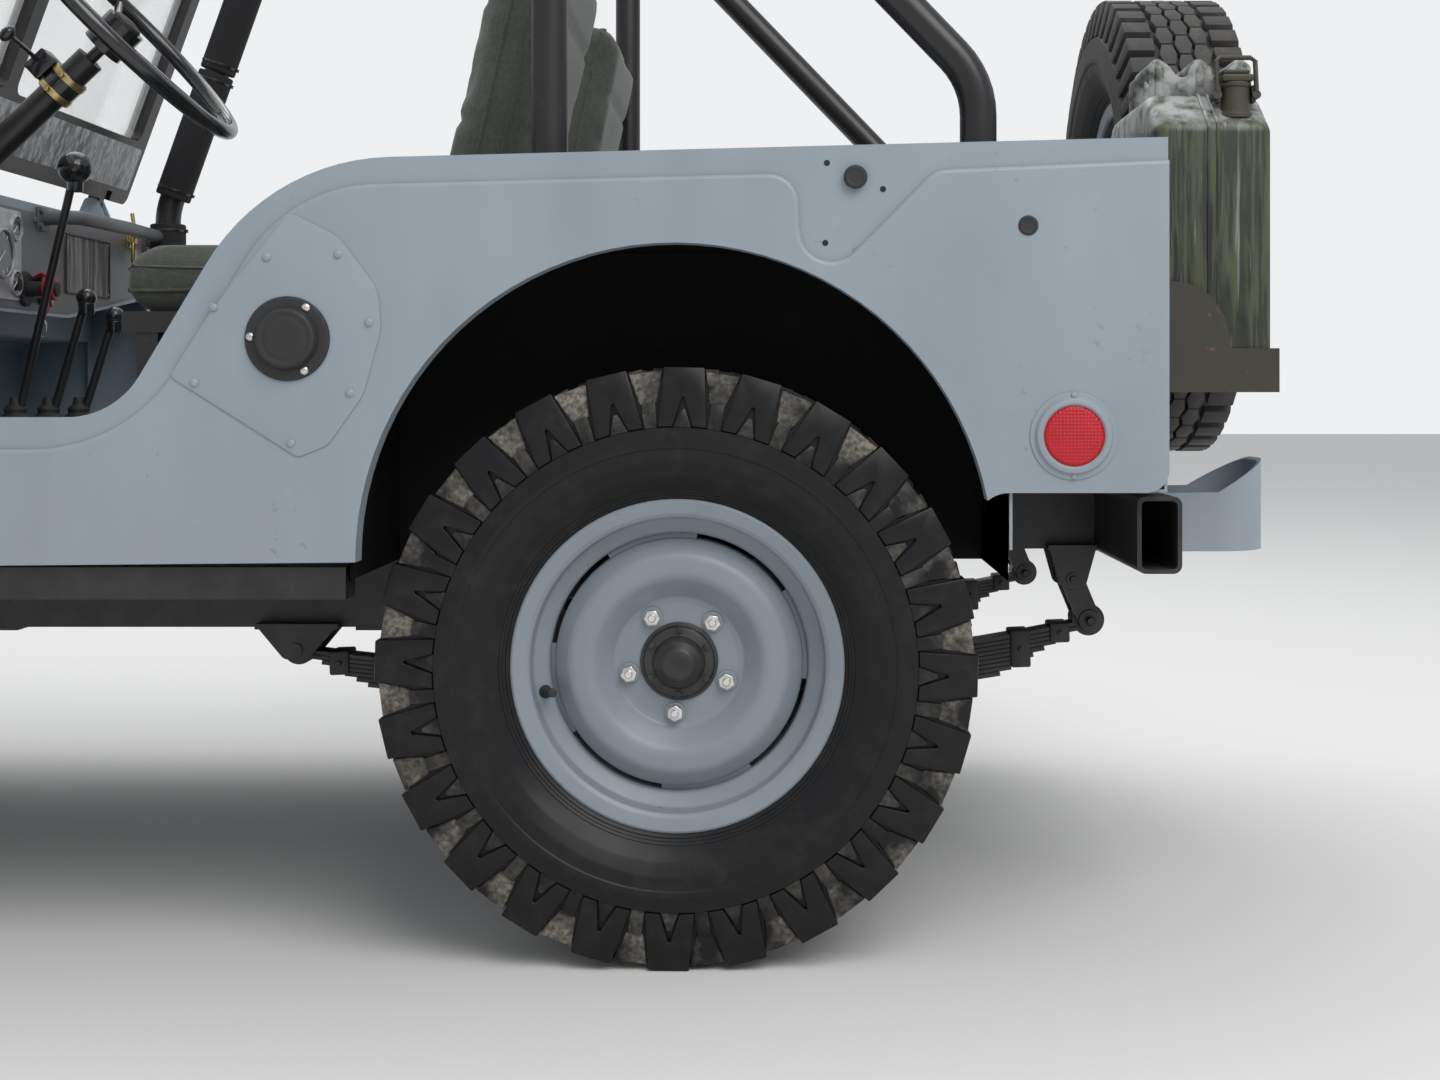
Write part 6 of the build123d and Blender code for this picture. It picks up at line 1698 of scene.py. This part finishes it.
class SpringTrim(Trim):
    """Clips, the lines between leaves, and bolts of the rear leaf springs."""

    SEAT_Z, EYE_Z, SPRING_Y = 352.0, 402.0, 360.0
    HALF, MIDDLE_X, TILT = 594.0, REAR_AXLE_X - 9.0, 2.1
    HALF_W, LEAVES, LEAF_T, LEAF_STEP = 22.5, 9, 6.5, 17.0
    LINK_T = 10.0
    SHACKLE_X, SHACKLE_Z = REAR_AXLE_X - 575.0, 486.0
    CLIPS = (-HALF + 44.0, -HALF + 104.0, HALF - 60.0)
    LINE_STEPS = 24

    def build(self) -> None:
        """Add the trim of both rear springs."""
        for side, hand, _ in HANDS:
            clips, lines = Workpiece(f"spring_clips_{hand}"), Workpiece(f"spring_lines_{hand}")
            spot = placed(self.MIDDLE_X, side * self.SPRING_Y, self.SEAT_Z) @ turned_by(self.TILT, "Y")
            for run in self.CLIPS:
                self._clip(clips, run, spot)
            for level in range(1, self.LEAVES):
                for face in SIDES:
                    self._line(lines, level, face, spot)
            self._bolts(clips, side)
            self.fit(clips, "spring black", "black_paint")
            # the lines between the leaves are painted shade
            self.fit(lines, "arch black", "black_paint")

    def _top(self, run: float) -> float:
        """Height of the main leaf's top above the spring seat."""
        sag = self.EYE_Z - self.SEAT_Z + 1.0
        bend = (self.HALF ** 2 + sag ** 2) / (2 * sag)
        return bend - math.sqrt(bend ** 2 - run ** 2) - 1.0

    def _clip(self, piece: Workpiece, run: float, spot: Matrix) -> None:
        """One strap bent around the leaves, with a rivet on each side."""
        held = min(self.LEAVES, int((self.HALF - abs(run)) / self.LEAF_STEP) + 1)
        low, top = self._top(run) - held * self.LEAF_T - 6.0, self._top(run) + 4.0
        reach = self.HALF_W + 4.0
        piece.add(block((run - 15.0, -reach, low), (run + 15.0, reach, top), 3.0), spot)
        side = spot @ Facing.LEFT.at(run, 0, (low + top) / 2)
        for height in (reach, -reach - 5.0):
            piece.add(hexagon(8.0, 0.0, 5.0), side @ placed(0, 0, height))

    def _line(self, piece: Workpiece, level: int, face: int, spot: Matrix) -> None:
        """The dark line between two leaves on one side of the pack: painted shade in the gap between them."""
        reach = self.HALF - level * self.LEAF_STEP - 2.0
        runs = [reach * (2 * step / self.LINE_STEPS - 1) for step in range(self.LINE_STEPS + 1)]
        points = [(run, face * (self.HALF_W + 0.1), self._top(run) - level * self.LEAF_T) for run in runs]
        for ends in zip(points, points[1:]):
            piece.add(rod(ends, 1.0, 5), spot)

    def _bolts(self, piece: Workpiece, side: int) -> None:
        """Heads and washers of the shackle's two pins."""
        reach = self.HALF_W + self.LINK_T
        eye = turned_by(self.TILT, "Y") @ Vector((-self.HALF, 0, self.EYE_Z - self.SEAT_Z))
        ring = [(reach, 8), (reach, 17), (reach + 2.5, 16, 1), (reach + 2.5, 8)]
        end = [(reach + 9, 0), (reach + 9, 6), (reach + 15, 5), (reach + 15, 0)]
        for x, z in ((self.MIDDLE_X + eye.x, self.SEAT_Z + eye.z), (self.SHACKLE_X, self.SHACKLE_Z)):
            for face in SIDES:
                spot = placed(x, side * self.SPRING_Y, z) @ turned_by(-90.0 * face, "X")
                piece.add(lathed(ring, 28, hollow=True), spot)
                piece.add(hexagon(11.0, reach + 2.0, reach + 10.0), spot).add(lathed(end, 16), spot)


class Front(Trim):
    """Headlamps and parking lamps."""

    SMOOTH = 40.0
    LAMP_Y, LAMP_Z, PARK_Z, GRILLE_X = 362.0, 858.0, 700.0, 1352.0

    def build(self) -> None:
        """Add the lamps."""
        for side, hand, _ in HANDS:
            spot = Facing.FRONT.at(self.GRILLE_X, side * self.LAMP_Y, self.LAMP_Z)
            bowl = Workpiece(f"headlamp_{hand}").add(lathed([
                (-70, 0), (-60, 55, 20), (-6, 91, 6), (2, 91, 1), (3, 100, 1), (10, 100, 4), (16, 92, 3),
                (14, 86, 2), (8, 84, 1), (8, 0)], 72), spot)
            self.fit(bowl, "body blue", "body_paint", nodes=("lamps",))
            lens = Workpiece(f"headlamp_lens_{hand}").add(lathed([
                (6, 0), (6, 85), (12, 84.5, 3), (20, 50, 60), (24, 0)], 64, corners=8), spot)
            self.fit(lens, "clear lens", "lamp_lens")
            small = Facing.FRONT.at(self.GRILLE_X, side * self.LAMP_Y, self.PARK_Z)
            park = Workpiece(f"park_lamp_{hand}").add(lathed([
                (-30, 0), (-30, 31), (2, 31), (2, 37, 1), (7, 36, 2), (8, 29, 2), (4, 28),
                (4, 0)], 40), small)
            self.fit(park, "body blue", "body_paint")
            glass = Workpiece(f"park_lens_{hand}")
            glass.add(lathed([(3, 0), (3, 28), (9, 27, 4), (14, 0)], 40), small)
            self.fit(glass, "amber lens", "lens_red")


def main() -> None:
    """Dress the whole car."""
    logging.basicConfig(level=logging.INFO, format="%(message)s")
    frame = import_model()
    Studio().build()
    palette = Palette()
    dress_nodes(frame["nodes"], palette)
    for group in (Wheels, BodySide, Seats, JerryCan, Cabin, Front, SpringTrim):
        group(palette).build()


if __name__ == "__main__":
    main()
